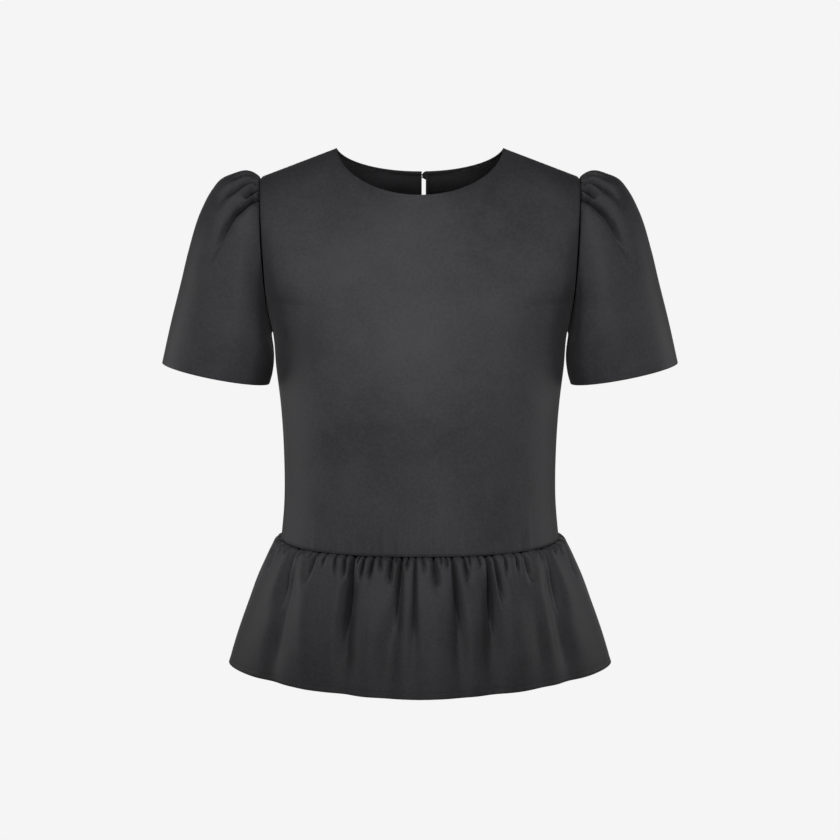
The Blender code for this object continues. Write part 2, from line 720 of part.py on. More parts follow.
def button_loop():
    """Loop of thin silk cord: from the other edge of the slit, round the button's shank and back."""
    reach = SHANK_RADIUS + LOOP_CLEARANCE + LOOP_RADIUS
    route = [(LOOP_END_X, -reach), ((LOOP_END_X + BUTTON_X) / 2, -reach)]
    for i in range(LOOP_TURN_STEPS + 1):
        turn = math.pi * i / LOOP_TURN_STEPS
        route.append((BUTTON_X + reach * math.sin(turn), -reach * math.cos(turn)))
    route += [((LOOP_END_X + BUTTON_X) / 2, reach), (LOOP_END_X, reach)]
    curve = bpy.data.curves.new("button_loop", "CURVE")
    curve.dimensions = "3D"
    curve.bevel_depth = LOOP_RADIUS
    curve.bevel_resolution = 2
    curve.use_fill_caps = True
    spline = curve.splines.new("POLY")
    spline.points.add(len(route) - 1)
    for node, (x, up) in zip(spline.points, route):
        place, normal = back_surface(x, BUTTON_BELOW_NECK - up)
        node.co = (*(place + normal * (LOOP_RADIUS + SEAM_GAP)), 1.0)
    return add_object("button_loop", curve, silk_material("button_loop", CORD_ROUGHNESS))


def main():
    """Clears the scene and builds every piece."""
    for item in list(bpy.data.objects):
        bpy.data.objects.remove(item)
    collection = bpy.data.collections.new(COLLECTION)
    bpy.context.scene.collection.children.link(collection)
    bodice_front()
    bodice_back()
    sleeve("sleeve_left", mirrored=False)
    sleeve("sleeve_right", mirrored=True)
    peplum("peplum_front", 0.0, FRONT_FOLDS)
    peplum("peplum_back", math.pi, BACK_FOLDS)
    neck_button()
    button_loop()


main()
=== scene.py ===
"""Looks of a short-sleeved silk blouse with a round neck, gathered sleeve heads and a gathered peplum.

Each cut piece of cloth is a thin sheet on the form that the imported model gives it, with its gathers,
folds, turned edges and stitching. The front faces -Y, the wearer's left is at +X and +Z is up. Lengths
are in metres, and the origin is midway between the two high shoulder points.
"""

from __future__ import annotations

import logging
import math
from collections.abc import Callable, Sequence
from dataclasses import dataclass
from enum import Enum

import bpy
import numpy as np
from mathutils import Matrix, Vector


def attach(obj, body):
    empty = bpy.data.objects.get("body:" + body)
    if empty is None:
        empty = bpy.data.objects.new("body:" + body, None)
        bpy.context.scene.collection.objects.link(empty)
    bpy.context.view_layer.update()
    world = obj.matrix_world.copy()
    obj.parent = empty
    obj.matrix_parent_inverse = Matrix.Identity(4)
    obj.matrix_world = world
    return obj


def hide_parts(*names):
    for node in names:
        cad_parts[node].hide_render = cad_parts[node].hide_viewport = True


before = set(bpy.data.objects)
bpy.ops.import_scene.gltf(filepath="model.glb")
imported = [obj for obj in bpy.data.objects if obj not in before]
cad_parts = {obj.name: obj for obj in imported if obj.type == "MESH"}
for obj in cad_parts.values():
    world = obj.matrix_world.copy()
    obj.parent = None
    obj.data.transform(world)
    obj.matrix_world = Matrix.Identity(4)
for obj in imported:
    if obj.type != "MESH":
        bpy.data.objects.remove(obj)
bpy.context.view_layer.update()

LOG = logging.getLogger("blouse")
# step in a form's parameters over which its slopes are measured
SLOPE_STEP = 0.0008
# a distance at which nothing dips into a seam any more
FAR = 1.0
HEM_GROOVE_DEPTH = 0.00018
HEM_GROOVE_REACH = 0.0008
Array = np.ndarray
Table = Sequence[Sequence[float]]
Place = tuple[float, float, float]
Material = bpy.types.Material
Socket = bpy.types.NodeSocket


class Facing(Enum):
    """The side of the body that a panel covers; the value is the sign of its outward Y."""

    FRONT = -1
    BACK = 1


class Side(Enum):
    """The wearer's side that a piece is on; the value is the sign of its X."""

    LEFT = 1
    RIGHT = -1


def linear_colour(code: str) -> tuple[float, float, float, float]:
    """Turns an sRGB hex colour into the linear values that Blender takes.

    Args:
        code: Six hex digits after a hash sign.

    Returns:
        Linear red, green, blue and full opacity.
    """
    parts = [int(code[i : i + 2], 16) / 255 for i in (1, 3, 5)]
    red, green, blue = (p / 12.92 if p <= 0.04045 else ((p + 0.055) / 1.055) ** 2.4 for p in parts)
    return red, green, blue, 1.0


def smooth(table: Table, column: int, at: Array) -> Array:
    """Reads a smooth curve through one column of a table.

    Args:
        table: Rows whose first value is the place along the curve.
        column: The column to read.
        at: Places to read it at.

    Returns:
        The column's value at each place.
    """
    keys = np.array([row[0] for row in table])
    values = np.array([row[column] for row in table])
    slopes = np.gradient(values, keys)
    low = np.clip(np.searchsorted(keys, at, side="right") - 1, 0, len(keys) - 2)
    span = keys[low + 1] - keys[low]
    t = (at - keys[low]) / span
    rising = t * t * (3 - 2 * t)
    leaving = t * (1 - t) ** 2 * span * slopes[low]
    reaching = t * t * (t - 1) * span * slopes[low + 1]
    return (1 - rising) * values[low] + rising * values[low + 1] + leaving + reaching


def ease(share: Array) -> Array:
    """Rises smoothly from 0 to 1 as the share does."""
    share = np.clip(share, 0.0, 1.0)
    return share * share * (3 - 2 * share)


def point(x: Array | float, y: Array | float, z: Array | float) -> Array:
    """Joins coordinates of matching shapes into points."""
    return np.stack(np.broadcast_arrays(x, y, z), axis=-1)


def unit(vectors: Array) -> Array:
    """Scales vectors to length one."""
    return vectors / np.linalg.norm(vectors, axis=-1, keepdims=True)


def oval(
    angle: Array, half_width: Array, front: Array, back: Array, squareness: Array | float
) -> tuple[Array, Array]:
    """Places points on a rounded body section.

    Args:
        angle: Angle from the centre front towards the wearer's left.
        half_width: Half of the section's width.
        front: Its depth in front of the side seams.
        back: Its depth behind them.
        squareness: 2 for an ellipse, more for a squarer section.

    Returns:
        X and Y, with Y measured from the side seams.
    """
    forward = np.cos(angle)
    leftward = np.sin(angle)
    depth = np.where(forward > 0, front, back)
    size = np.abs(forward / depth) ** squareness + np.abs(leftward / half_width) ** squareness
    radius = size ** (-1 / squareness)
    return radius * leftward, -radius * forward


@dataclass(frozen=True)
class TurnedEdge:
    """How the cloth is turned in along an edge.

    Attributes:
        radius: Radius of the turn.
        angle: How far the cloth turns, in degrees: 180 folds it back onto itself.
        depth: How far it runs on after the turn.
        steps: Rows in the turn.
    """

    radius: float = 0.0004
    angle: float = 180.0
    depth: float = 0.006
    steps: int = 4


SEAM_ALLOWANCE = TurnedEdge(radius=0.00015, angle=95.0, depth=0.005, steps=3)
NECK_EDGE = TurnedEdge(radius=0.0005, depth=0.005)
SLIT_EDGE = TurnedEdge(depth=0.004)
SLEEVE_HEM = TurnedEdge(depth=0.010)
PEPLUM_HEM = TurnedEdge(depth=0.0065)


class ClothSheet:
    """Builds one cut piece of cloth as an open sheet of faces and gives it its thickness."""

    def __init__(self, name: str, thickness: float) -> None:
        """Starts an empty sheet.

        Args:
            name: The piece's name.
            thickness: The cloth's thickness.
        """
        self.name = name
        self.thickness = thickness
        self.points: list[Array] = []
        self.normals: list[Array] = []
        self.cut: list[Array] = []
        self.faces: list[Array] = []
        self.count = 0

    def add(self, points: Array, normals: Array, cut: Array) -> Array:
        """Adds points in any grid shape.

        Args:
            points: Their places.
            normals: Their outward directions.
            cut: Their places on the flat cut piece, in metres.

        Returns:
            The points' numbers, in the same grid shape.
        """
        shape = points.shape[:-1]
        total = int(np.prod(shape))
        ids = np.arange(self.count, self.count + total).reshape(shape)
        self.points.append(points.reshape(-1, 3))
        self.normals.append(normals.reshape(-1, 3))
        self.cut.append(cut.reshape(-1, 2))
        self.count += total
        return ids

    def fill(self, ids: Array) -> None:
        """Fills a grid of point numbers whose rows go up and columns go right, as seen from outside."""
        corners = (ids[:-1, :-1], ids[:-1, 1:], ids[1:, 1:], ids[1:, :-1])
        self.faces.append(np.stack([corner.ravel() for corner in corners], axis=-1))

    def turn_in(self, edge: Array, inner: Array, way: TurnedEdge) -> None:
        """Turns the cloth in along an edge.

        Args:
            edge: Numbers of the points along the edge, with the sheet on their left as seen from outside.
            inner: Numbers of the neighbouring points inside the sheet.
            way: How it is turned.
        """
        points = np.concatenate(self.points)
        normals = np.concatenate(self.normals)
        cut = np.concatenate(self.cut)
        base = points[edge]
        outward = normals[edge]
        along = base - points[inner]
        along = unit(along - outward * np.sum(along * outward, axis=-1, keepdims=True))
        spread = unit(cut[edge] - cut[inner])
        rows = [edge]
        for step in range(1, way.steps + 1):
            turn = math.radians(way.angle) * step / way.steps
            place = base + way.radius * (math.sin(turn) * along - (1 - math.cos(turn)) * outward)
            faces_out = math.cos(turn) * outward + math.sin(turn) * along
            rows.append(self.add(place, faces_out, cut[edge] + spread * way.radius * turn))
        last = place + way.depth * (math.cos(turn) * along - math.sin(turn) * outward)
        run = way.radius * turn + way.depth
        rows.append(self.add(last, faces_out, cut[edge] + spread * run))
        self.fill(np.stack(rows[::-1]))

    def turn_borders(self, ids: Array, *ways: TurnedEdge | None) -> None:
        """Turns in the borders of a grid.

        Args:
            ids: Point numbers of the grid.
            ways: How its bottom, right, top and left borders are turned in; None leaves one as it is.
        """
        for quarter, way in enumerate(ways):
            if way:
                edge, inner = np.rot90(ids, quarter)[:2]
                self.turn_in(edge, inner, way)

    def add_grid(self, points: Array, normals: Array) -> Array:
        """Adds a grid of points, laid out flat by its own lengths, and fills it.

        Args:
            points: Rows of points.
            normals: Outward directions there.

        Returns:
            Their point numbers.
        """
        across = np.repeat(run_length(points[-1:], 1), len(points), axis=0)
        ids = self.add(points, normals, point(across, run_length(points, 0), 0.0)[..., :2])
        self.fill(ids)
        return ids

    def build(self, side: Side = Side.LEFT) -> bpy.types.Object:
        """Makes the object.

        Args:
            side: RIGHT mirrors the sheet to the wearer's right.

        Returns:
            The sheet, closed to its thickness by a modifier.
        """
        points = np.concatenate(self.points)
        cut = np.concatenate(self.cut)
        faces = np.concatenate(self.faces)
        if side is Side.RIGHT:
            points = points * np.array([-1.0, 1.0, 1.0])
            faces = faces[:, ::-1]
        mesh = bpy.data.meshes.new(self.name)
        mesh.from_pydata(points.tolist(), [], faces.tolist())
        layer = mesh.uv_layers.new(name="cut")
        layer.data.foreach_set("uv", cut[faces.ravel()].ravel())
        mesh.shade_smooth()
        sheet = bpy.data.objects.new(self.name, mesh)
        bpy.context.scene.collection.objects.link(sheet)
        solid = sheet.modifiers.new("thickness", "SOLIDIFY")
        solid.thickness = self.thickness
        solid.offset = -1.0
        return sheet


def facing_out(
    form: Callable[[Array, Array], Array],
    across: Array,
    along: Array,
    ends: tuple[float, float],
    turn_over: int = 1,
) -> Array:
    """Finds the outward directions of a form of two parameters.

    Args:
        form: Gives points from the two parameters.
        across: First parameter, any value.
        along: Second parameter.
        ends: Lowest and highest value of the second parameter.
        turn_over: -1 where the parameters run the other way round.

    Returns:
        A unit vector for each pair of parameters.
    """
    side = form(across + SLOPE_STEP, along) - form(across - SLOPE_STEP, along)
    before = form(across, np.clip(along - SLOPE_STEP, *ends))
    after = form(across, np.clip(along + SLOPE_STEP, *ends))
    return unit(np.cross(side, after - before) * turn_over)


def run_length(points: Array, axis: int) -> Array:
    """Measures how far each point of a grid lies along its row or column.

    Args:
        points: Grid of points.
        axis: 0 to measure up the columns, 1 to measure along the rows.

    Returns:
        The length from the grid's first row or column.
    """
    steps = np.linalg.norm(np.diff(points, axis=axis), axis=-1)
    start = np.zeros_like(np.take(steps, [0], axis=axis))
    return np.concatenate([start, np.cumsum(steps, axis=axis)], axis=axis)


@dataclass(frozen=True)
class Valleys:
    """Valleys that run into a piece of gathered cloth from its seam.

    Attributes:
        rows: Place across the cloth at the seam and at the valley's end, where it starts and ends along
            the cloth, half width on its low and on its high side, depth.
        full_depth_at: Distance from its start at which a valley is fully deep.
        profile: Exponent of the cross-section at the seam: 1 is a sharp crease, 2 a soft trough.
        strength: Factor on the depths.
        core_width: Width of the sharp crease in the middle, as a share of the valley's.
        core_depth: Its depth, as a share of the valley's.
        core_length: Share of the valley's length over which it runs out.
        seam_width: Width at the seam, as a share of the row's half width.
        widening: How much the width gains by the valley's end.
        softening: How much the exponent of the cross-section gains by the end.
        seam_depth: Share of the depth at the seam.
        fade_from: Share of the length from which the trough runs out.
        crowd_width: Width over which columns crowd, as a share of the valley's.
        crowd_weight: How many more columns lie over a valley than beside it.
    """

    rows: Table
    full_depth_at: float
    profile: float = 1.7
    strength: float = 1.5
    core_width: float = 0.36
    core_depth: float = 2.0
    core_length: float = 0.8
    seam_width: float = 0.55
    widening: float = 1.1
    softening: float = 0.7
    seam_depth: float = 0.55
    fade_from: float = 0.2
    crowd_width: float = 0.6
    crowd_weight: float = 2.6

    def depth(self, across: Array, along: Array) -> Array:
        """Depth of the valleys at places across and along the cloth."""
        total = np.zeros_like(across)
        for at_seam, at_end, first, last, low_width, high_width, deep in self.rows:
            share = np.clip((along - first) / (last - first), 0.0, 1.0)
            off = across - at_seam - (at_end - at_seam) * share
            width = np.where(off < 0, low_width, high_width) * (self.seam_width + self.widening * share)
            section = np.exp(-(np.abs(off / width) ** (self.profile + self.softening * share)))
            opened = ease((along - first) / self.full_depth_at)
            opening = self.seam_depth + (1 - self.seam_depth) * opened
            run_out = ease((share - self.fade_from) / (1 - self.fade_from))
            fading = (1 - run_out) * (along >= first)
            crease = np.exp(-((off / (width * self.core_width)) ** 2)) * (1 - ease(share / self.core_length))
            trough = section * fading + self.core_depth * crease * (along >= first)
            total = np.maximum(total, self.strength * deep * trough * opening)
        return total

    def crowd(self, places: Array) -> Array:
        """Moves evenly spaced places closer together over the valleys, where the cloth is steep.

        Args:
            places: Rising places across the cloth.

        Returns:
            As many places between the same ends.
        """
        fine = np.linspace(places[0], places[-1], 20 * len(places))
        weight = np.ones_like(fine)
        for at_seam, _, _, _, low_width, high_width, _ in self.rows:
            reach = self.crowd_width * (low_width + high_width) / 2
            weight += self.crowd_weight * np.exp(-(((fine - at_seam) / reach) ** 2))
        run = np.cumsum(weight)
        return np.interp(np.linspace(run[0], run[-1], len(places)), run, fine)


def mirrored(rows: Table, shift: float, turn: int) -> Table:
    """Gives the other side's valleys: mirrored, shifted a little and with their lengths passed on.

    Args:
        rows: Rows of Valleys.
        shift: How far they move across the cloth.
        turn: By how many rows the lengths and depths are passed on.

    Returns:
        The new rows.
    """
    others = [*rows[turn:], *rows[:turn]]
    return [
        (-row[0] + shift, -row[1] + shift, other[2], other[3], other[5], other[4], other[6])
        for row, other in zip(rows, others)
    ]


def dress(piece: bpy.types.Object, silk: Material, node: str) -> None:
    """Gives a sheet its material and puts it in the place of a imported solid.

    Args:
        piece: The sheet.
        silk: Its material.
        node: The solid's name.
    """
    piece.data.materials.append(silk)
    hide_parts(node)
    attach(piece, "root")


def hem_groove(distance: Array) -> Array:
    """How far the cloth is drawn in at a distance from its hem's stitches."""
    return HEM_GROOVE_DEPTH * np.exp(-((distance / HEM_GROOVE_REACH) ** 2))


def sunk(distance: Array, depth: float = 0.0012, reach: float = 0.0012) -> Array:
    """How far cloth dips into a seam at a distance from it."""
    return depth * np.exp(-((np.maximum(distance, 0.0) / reach) ** 2))


@dataclass
class Torso:
    """Form of the bodice, shared by its panels and by the armholes that the sleeves are sewn to."""

    side_y: float = 0.005
    squareness: float = 2.3
    waist_z: float = -0.4207
    underarm_z: float = -0.196
    notch_z: float = -0.160
    notch_angle: float = math.radians(76.0)
    # height, half width, depth to the front, depth to the back
    sections: Table = (
        (-0.4207, 0.1500, 0.1190, 0.0950),
        (-0.3803, 0.1466, 0.1185, 0.0930),
        (-0.3253, 0.1470, 0.1215, 0.0945),
        (-0.2707, 0.1506, 0.1290, 0.1000),
        (-0.2326, 0.1550, 0.1315, 0.1050),
        (-0.1960, 0.1583, 0.1300, 0.1080),
        (-0.1600, 0.1690, 0.1235, 0.1090),
    )
    neck_half_width: float = 0.0889
    shoulder_tip: Place = (0.1698, 0.0, -0.0307)
    front_neck: tuple[float, float] = (0.075, 0.0464)
    back_neck: tuple[float, float] = (0.055, 0.0269)
    neck_rounding: float = 0.14
    neck_share: float = 0.56
    corner_softness: float = 0.40
    corner_fade: float = 0.7
    chest_rise: float = 0.125
    armhole_start: Place = (0.010, 0.090, 0.120)
    neck_centre_end: Place = (0.0, -0.050, 0.105)
    roll_at_neck: float = 0.100
    roll_at_tip: float = 0.170
    armhole_blend_from: float = 0.55

    def body_point(self, angle: Array, height: Array) -> Array:
        """Point on the round form below the armholes' notches."""
        sizes = [smooth(self.sections, column, height) for column in (1, 2, 3)]
        x, y = oval(angle, *sizes, self.squareness)
        return point(x, y + self.side_y, height)

    def lower(self, angle: Array, rise: Array) -> Array:
        """Point between the waist seam (0) and the upper chest line, or the armhole below it (1)."""
        from_centre = np.abs((angle + math.pi / 2) % math.pi - math.pi / 2)
        past_notch = (from_centre - self.notch_angle) / (math.pi / 2 - self.notch_angle)
        to_side = 1 - np.clip(past_notch, 0.0, 1.0)
        top = self.underarm_z + (self.notch_z - self.underarm_z) * to_side**2
        return self.body_point(angle, self.waist_z + rise * (top - self.waist_z))

    def neck_drop(self, turn: Array) -> Array:
        """Share of the neck's drop at an angle from the centre, rounded over the shoulder."""
        low = self.neck_rounding
        return (np.sqrt(np.cos(turn) ** 2 + low**2) - low) / (math.hypot(1.0, low) - low)

    def top_edge(self, column: Array, facing: Facing) -> tuple[Array, Array]:
        """Gives a panel's neck and shoulder edge.

        Args:
            column: 0 at the centre, 1 at the left armhole, -1 at the right one.
            facing: The panel's side.

        Returns:
            Points on the edge, and the directions in which the cloth reaches it.
        """
        share = np.abs(column)
        turn = np.clip(share / self.neck_share, 0.0, 1.0) * math.pi / 2
        out = np.maximum((share - self.neck_share) / (1 - self.neck_share), 0.0)
        depth, drop = self.front_neck if facing is Facing.FRONT else self.back_neck
        x = self.neck_half_width * np.sin(turn) + out * (self.shoulder_tip[0] - self.neck_half_width)
        y = facing.value * depth * np.cos(turn)
        z = out * self.shoulder_tip[2] - drop * self.neck_drop(turn)
        roll = self.roll_at_neck + out * (self.roll_at_tip - self.roll_at_neck)
        over = point(0.0, -facing.value * roll, 0.0)
        up = point(0.0, facing.value * self.neck_centre_end[1], self.neck_centre_end[2])
        reaching = up * np.cos(turn)[..., None] + over * np.sin(turn)[..., None]
        return point(np.sign(column) * x, y, z), reaching

    def upper(self, column: Array, rise: Array, facing: Facing) -> Array:
        """Gives points between the upper chest line and the neck or shoulder edge.

        Args:
            column: 0 at the centre, 1 at the left armhole, -1 at the right one.
            rise: 0 at the chest line, 1 at the edge.
            facing: The panel's side.

        Returns:
            The points. The corner where the neck meets the shoulder seam softens down the panel.
        """
        samples = np.linspace(-1.0, 1.0, 9)
        top = 0.0
        reaching = 0.0
        for offset in samples:
            spread = self.corner_softness * (1 - rise) ** self.corner_fade
            edge, direction = self.top_edge(column + offset * spread, facing)
            top = top + edge / len(samples)
            reaching = reaching + direction / len(samples)
        angle = column * self.notch_angle
        if facing is Facing.BACK:
            angle = math.pi - angle
        step = 0.0005
        start = self.body_point(angle, np.full_like(column, self.notch_z))
        below = self.body_point(angle, np.full_like(column, self.notch_z - step))
        climb = (start - below) / step * self.chest_rise
        out, forward, up = self.armhole_start
        seam = point(np.sign(column) * out, facing.value * forward, up)
        near_seam = (np.abs(column) - self.armhole_blend_from) / (1 - self.armhole_blend_from)
        near_seam = ease(near_seam)[..., None]
        leaving = climb * (1 - near_seam) + seam * near_seam
        t = rise[..., None]
        rising = t * t * (3 - 2 * t)
        return (1 - rising) * start + rising * top + t * (1 - t) ** 2 * leaving + t * t * (t - 1) * reaching

    def armhole(self) -> Array:
        """Dense line round the left armhole: from the shoulder tip down the front and up the back."""
        steps = np.linspace(0.0, 1.0, 120)
        edge = np.ones_like(steps)
        below = self.notch_angle + steps * (math.pi - 2 * self.notch_angle)
        front = self.upper(edge, 1 - steps, Facing.FRONT)
        under = self.lower(below, edge)
        back = self.upper(edge, steps, Facing.BACK)
        return np.concatenate([front, under[1:-1], back])


@dataclass
class BodicePanel:
    """One bodice panel, cut in one from the shoulders to the waist seam.

    Attributes:
        torso: The form it lies on.
        facing: The side of the body it covers.
        silk: Its material.
    """

    torso: Torso
    facing: Facing
    silk: Material
    thickness: float = 0.0003
    neck_columns: int = 44
    shoulder_columns: int = 26
    side_columns: int = 14
    lower_rows: int = 84
    upper_rows: int = 60
    # exponents below 1 crowd the rows towards the top, above 1 towards the bottom
    upper_crowding: float = 0.9
    lower_crowding: float = 1.25
    # extra rows beside an edge, as shares of the height, and their factors at neck, waist and underarm
    near_edge: Place = (0.0020, 0.0045, 0.0080)
    edge_factors: Place = (1.8, 1 / 3, 1.2)
    seam_inset: float = 0.0001
    slit_x: float = 0.0041
    slit_width: float = 0.0052
    slit_foot_width: float = 0.0012
    slit_foot: float = 0.34
    # share of the height over which it opens to its full width, and column places searched for its edges
    slit_opening: float = 0.14
    slit_search: float = 0.2
    # columns beside the slit that are spaced out evenly again
    slit_reach: int = 12
    flat: tuple[float, float] = (0.50, 0.44)
    flat_area: float = 0.175
    # pulls that rise from the waist: angle from the centre in degrees, length, half width in degrees, height
    soft_folds: Table = (
        (-85.5, 0.120, 0.9, 0.0012),
        (-80.5, 0.170, 1.3, 0.0019),
        (-73.0, 0.110, 1.6, 0.0010),
        (-52.0, 0.035, 1.3, 0.0010),
        (-44.0, 0.022, 0.7, -0.0012),
        (-33.0, 0.030, 1.1, 0.0010),
        (-24.5, 0.020, 0.8, -0.0010),
        (-18.0, 0.045, 1.4, 0.0010),
        (-10.8, 0.026, 0.7, 0.0015),
        (-4.6, 0.040, 0.8, 0.0014),
        (-1.0, 0.022, 0.6, 0.0012),
        (5.5, 0.030, 0.9, 0.0014),
        (12.0, 0.020, 0.8, -0.0010),
        (22.0, 0.034, 1.2, 0.0010),
        (36.0, 0.022, 0.9, -0.0010),
        (45.0, 0.030, 1.0, 0.0014),
        (50.5, 0.026, 0.7, -0.0014),
        (54.0, 0.045, 1.2, 0.0012),
        (72.0, 0.090, 1.6, 0.0010),
        (79.0, 0.190, 1.3, 0.0019),
        (84.5, 0.140, 0.9, 0.0012),
    )

    def places(self) -> Array:
        """Columns from one side seam to the other: 1 is a notch of an armhole, 2 a side seam."""
        share = self.torso.neck_share
        neck = np.linspace(0.0, share, self.neck_columns + 1)
        shoulder = np.linspace(share, 1.0, self.shoulder_columns + 1)[1:]
        side = np.linspace(1.0, 2.0, self.side_columns + 1)[1:]
        beside_armhole = 1.0 - np.array([0.010, 0.0065, 0.0035])
        half = np.concatenate([neck, shoulder[:-1], beside_armhole, [1.0], side])
        row = np.concatenate([-half[:0:-1], half])
        return row if self.facing is Facing.FRONT else -row

    def angle(self, place: Array) -> Array:
        """Angle round the body of a column."""
        torso = self.torso
        limit = math.pi / 2 - self.seam_inset / torso.sections[3][1]
        past = np.clip(np.abs(place) - 1, 0.0, 1.0)
        angle = np.minimum(np.abs(place), 1.0) * torso.notch_angle + past * (limit - torso.notch_angle)
        angle = angle * np.sign(place)
        return angle if self.facing is Facing.FRONT else math.pi - angle

    def relief(self, place: Array, rise: Array) -> Array:
        """Height of the soft pulls that rise from the waist seam."""
        angle = self.angle(place)
        degrees = np.degrees(angle if self.facing is Facing.FRONT else math.pi - angle)
        height = np.zeros_like(place)
        above = rise * (self.torso.notch_z - self.torso.waist_z)
        for middle, length, half_width, lift in self.soft_folds:
            fade = np.exp(-((above / length) ** 2) * 2)
            height = height + lift * fade * np.exp(-(((degrees - middle) / half_width) ** 2))
        return height - sunk(above, 0.0009)

    def slit_edge(self, rises: Array, offsets: Array) -> Array:
        """Finds the column places of one edge of the slit.

        Args:
            rises: Shares of the height of the rows between the chest line and the neck.
            offsets: Distance of the edge from the slit's middle in each row.

        Returns:
            A place for each row.
        """
        columns = np.linspace(-self.slit_search, self.slit_search, 201)
        found = []
        for rise, offset in zip(rises, offsets):
            across = self.torso.upper(columns, np.full_like(columns, rise), self.facing)[:, 0]
            found.append(np.interp(self.slit_x + offset, across, columns))
        return np.array(found)

    def build(self) -> bpy.types.Object:
        """Makes the panel."""
        torso = self.torso
        facing = self.facing
        sheet = ClothSheet(f"silk_bodice_{facing.name.lower()}", self.thickness)
        places = self.places()
        between = places[np.abs(places) <= 1.0]
        near_neck, near_waist, near_underarm = (np.array(self.near_edge) * f for f in self.edge_factors)
        rises = np.linspace(0.0, 1.0, self.upper_rows + 1) ** self.upper_crowding
        rises = np.sort(np.concatenate([rises, 1 - near_neck]))
        low_grid = np.linspace(0.0, 1.0, self.lower_rows + 1) ** self.lower_crowding
        low_grid = np.sort(np.concatenate([low_grid, near_waist, 1 - near_underarm]))

        low_place = np.tile(places, (len(low_grid), 1))
        high_place = np.tile(between, (len(rises), 1))
        if facing is Facing.BACK:
            centre = len(places) // 2
            middle = len(between) // 2
            opened = ease((rises - self.slit_foot) / self.slit_opening)
            width = self.slit_foot_width + (self.slit_width - self.slit_foot_width) * opened
            edges = [self.slit_edge(rises, side * width / 2) for side in (1, -1)]
            low_edges = [np.full(len(low_grid), edge[0]) for edge in edges]
            low_place = self.with_slit(low_place, centre, low_edges)
            high_place = self.with_slit(high_place, middle, edges)

        low_rise = np.repeat(low_grid[:, None], low_place.shape[1], axis=1)
        high_rise = np.repeat(rises[:, None], high_place.shape[1], axis=1)
        low_angle = self.angle(low_place)

        def upper(column: Array, rise: Array) -> Array:
            return torso.upper(column, rise, facing)

        low = torso.lower(low_angle, low_rise)
        low_out = facing_out(torso.lower, low_angle, low_rise, (0.0, 1.0))
        below_armhole = (1 - low_rise) * (torso.underarm_z - torso.waist_z)
        under_arm = np.where(np.abs(low_place) < 1.0, FAR, below_armhole)
        low = low + low_out * (self.relief(low_place, low_rise) - sunk(under_arm))[..., None]
        high = upper(high_place, high_rise)
        high_out = facing_out(upper, high_place, high_rise, (0.0, 1.0), -facing.value)
        to_armhole = (1 - np.abs(high_place)) * torso.sections[-1][1]
        below_shoulder = (1 - high_rise) * (torso.shoulder_tip[2] - torso.notch_z)
        to_shoulder = np.where(np.abs(high_place) <= torso.neck_share, FAR, below_shoulder)
        high = high - high_out * (sunk(to_armhole) + sunk(to_shoulder, 0.0006))[..., None]

        across = np.concatenate([run_length(low[-1:], 1)] * len(low_grid))
        low_ids = sheet.add(low, low_out, point(across, run_length(low, 0), 0.0)[..., :2])
        first = (low_place.shape[1] - high_place.shape[1]) // 2
        last = first + high_place.shape[1]
        high_across = np.repeat(across[-1:, first:last], len(rises), axis=0)
        high_up = run_length(low, 0)[-1:, first:last] + run_length(high, 0)
        high_ids = sheet.add(high[1:], high_out[1:], point(high_across, high_up, 0.0)[1:, :, :2])
        high_ids = np.concatenate([low_ids[-1:, first:last], high_ids])

        sheet.fill(low_ids)
        if facing is Facing.BACK:
            self.fill_slit(sheet, high_ids, rises)
        else:
            sheet.fill(high_ids)
            self.turn_top(sheet, high_ids, high_place[-1])
        sheet.turn_borders(low_ids, SEAM_ALLOWANCE, SEAM_ALLOWANCE, None, SEAM_ALLOWANCE)
        sheet.turn_borders(low_ids[:, last - 1 :], None, None, SEAM_ALLOWANCE)
        sheet.turn_borders(low_ids[:, : first + 1], None, None, SEAM_ALLOWANCE)
        sheet.turn_borders(high_ids, None, SEAM_ALLOWANCE, None, SEAM_ALLOWANCE)
        panel = sheet.build()
        dress(panel, self.silk, f"bodice_{facing.name.lower()}")
        return panel

    def with_slit(self, grid: Array, middle: int, edges: list[Array]) -> Array:
        """Puts the slit's two edges in place of the middle column and evens out the columns beside it.

        Args:
            grid: Rows of column places, from the left side to the right.
            middle: The middle column's number.
            edges: The two edges' places in each row.

        Returns:
            The grid with one column more.
        """
        left = grid[:, :middle].copy()
        right = grid[:, middle + 1 :].copy()
        reach = self.slit_reach
        share = np.linspace(1.0, 0.0, reach + 1)[1:-1]
        share = np.append(share, share[-1] / 2)
        edge, other = (line[:, None] for line in edges)
        left[:, -reach:] = edge + (left[:, -reach - 1, None] - edge) * share
        right[:, :reach] = other + (right[:, reach, None] - other) * share[::-1]
        return np.concatenate([left, edge, other, right], axis=1)

    def turn_top(self, sheet: ClothSheet, ids: Array, places: Array) -> None:
        """Turns in the shoulder seams and the neck edge.

        Args:
            sheet: The sheet being built.
            ids: Point numbers of the panel between the armholes.
            places: Column places of its top row.
        """
        share = self.torso.neck_share
        close = 1e-6
        for chosen, way in (
            (places <= close - share, SEAM_ALLOWANCE),
            (np.abs(places) <= share + close, NECK_EDGE),
            (places >= share - close, SEAM_ALLOWANCE),
        ):
            numbers = np.flatnonzero(chosen)
            if len(numbers) > 1:
                sheet.turn_borders(ids[:, numbers], None, None, way)

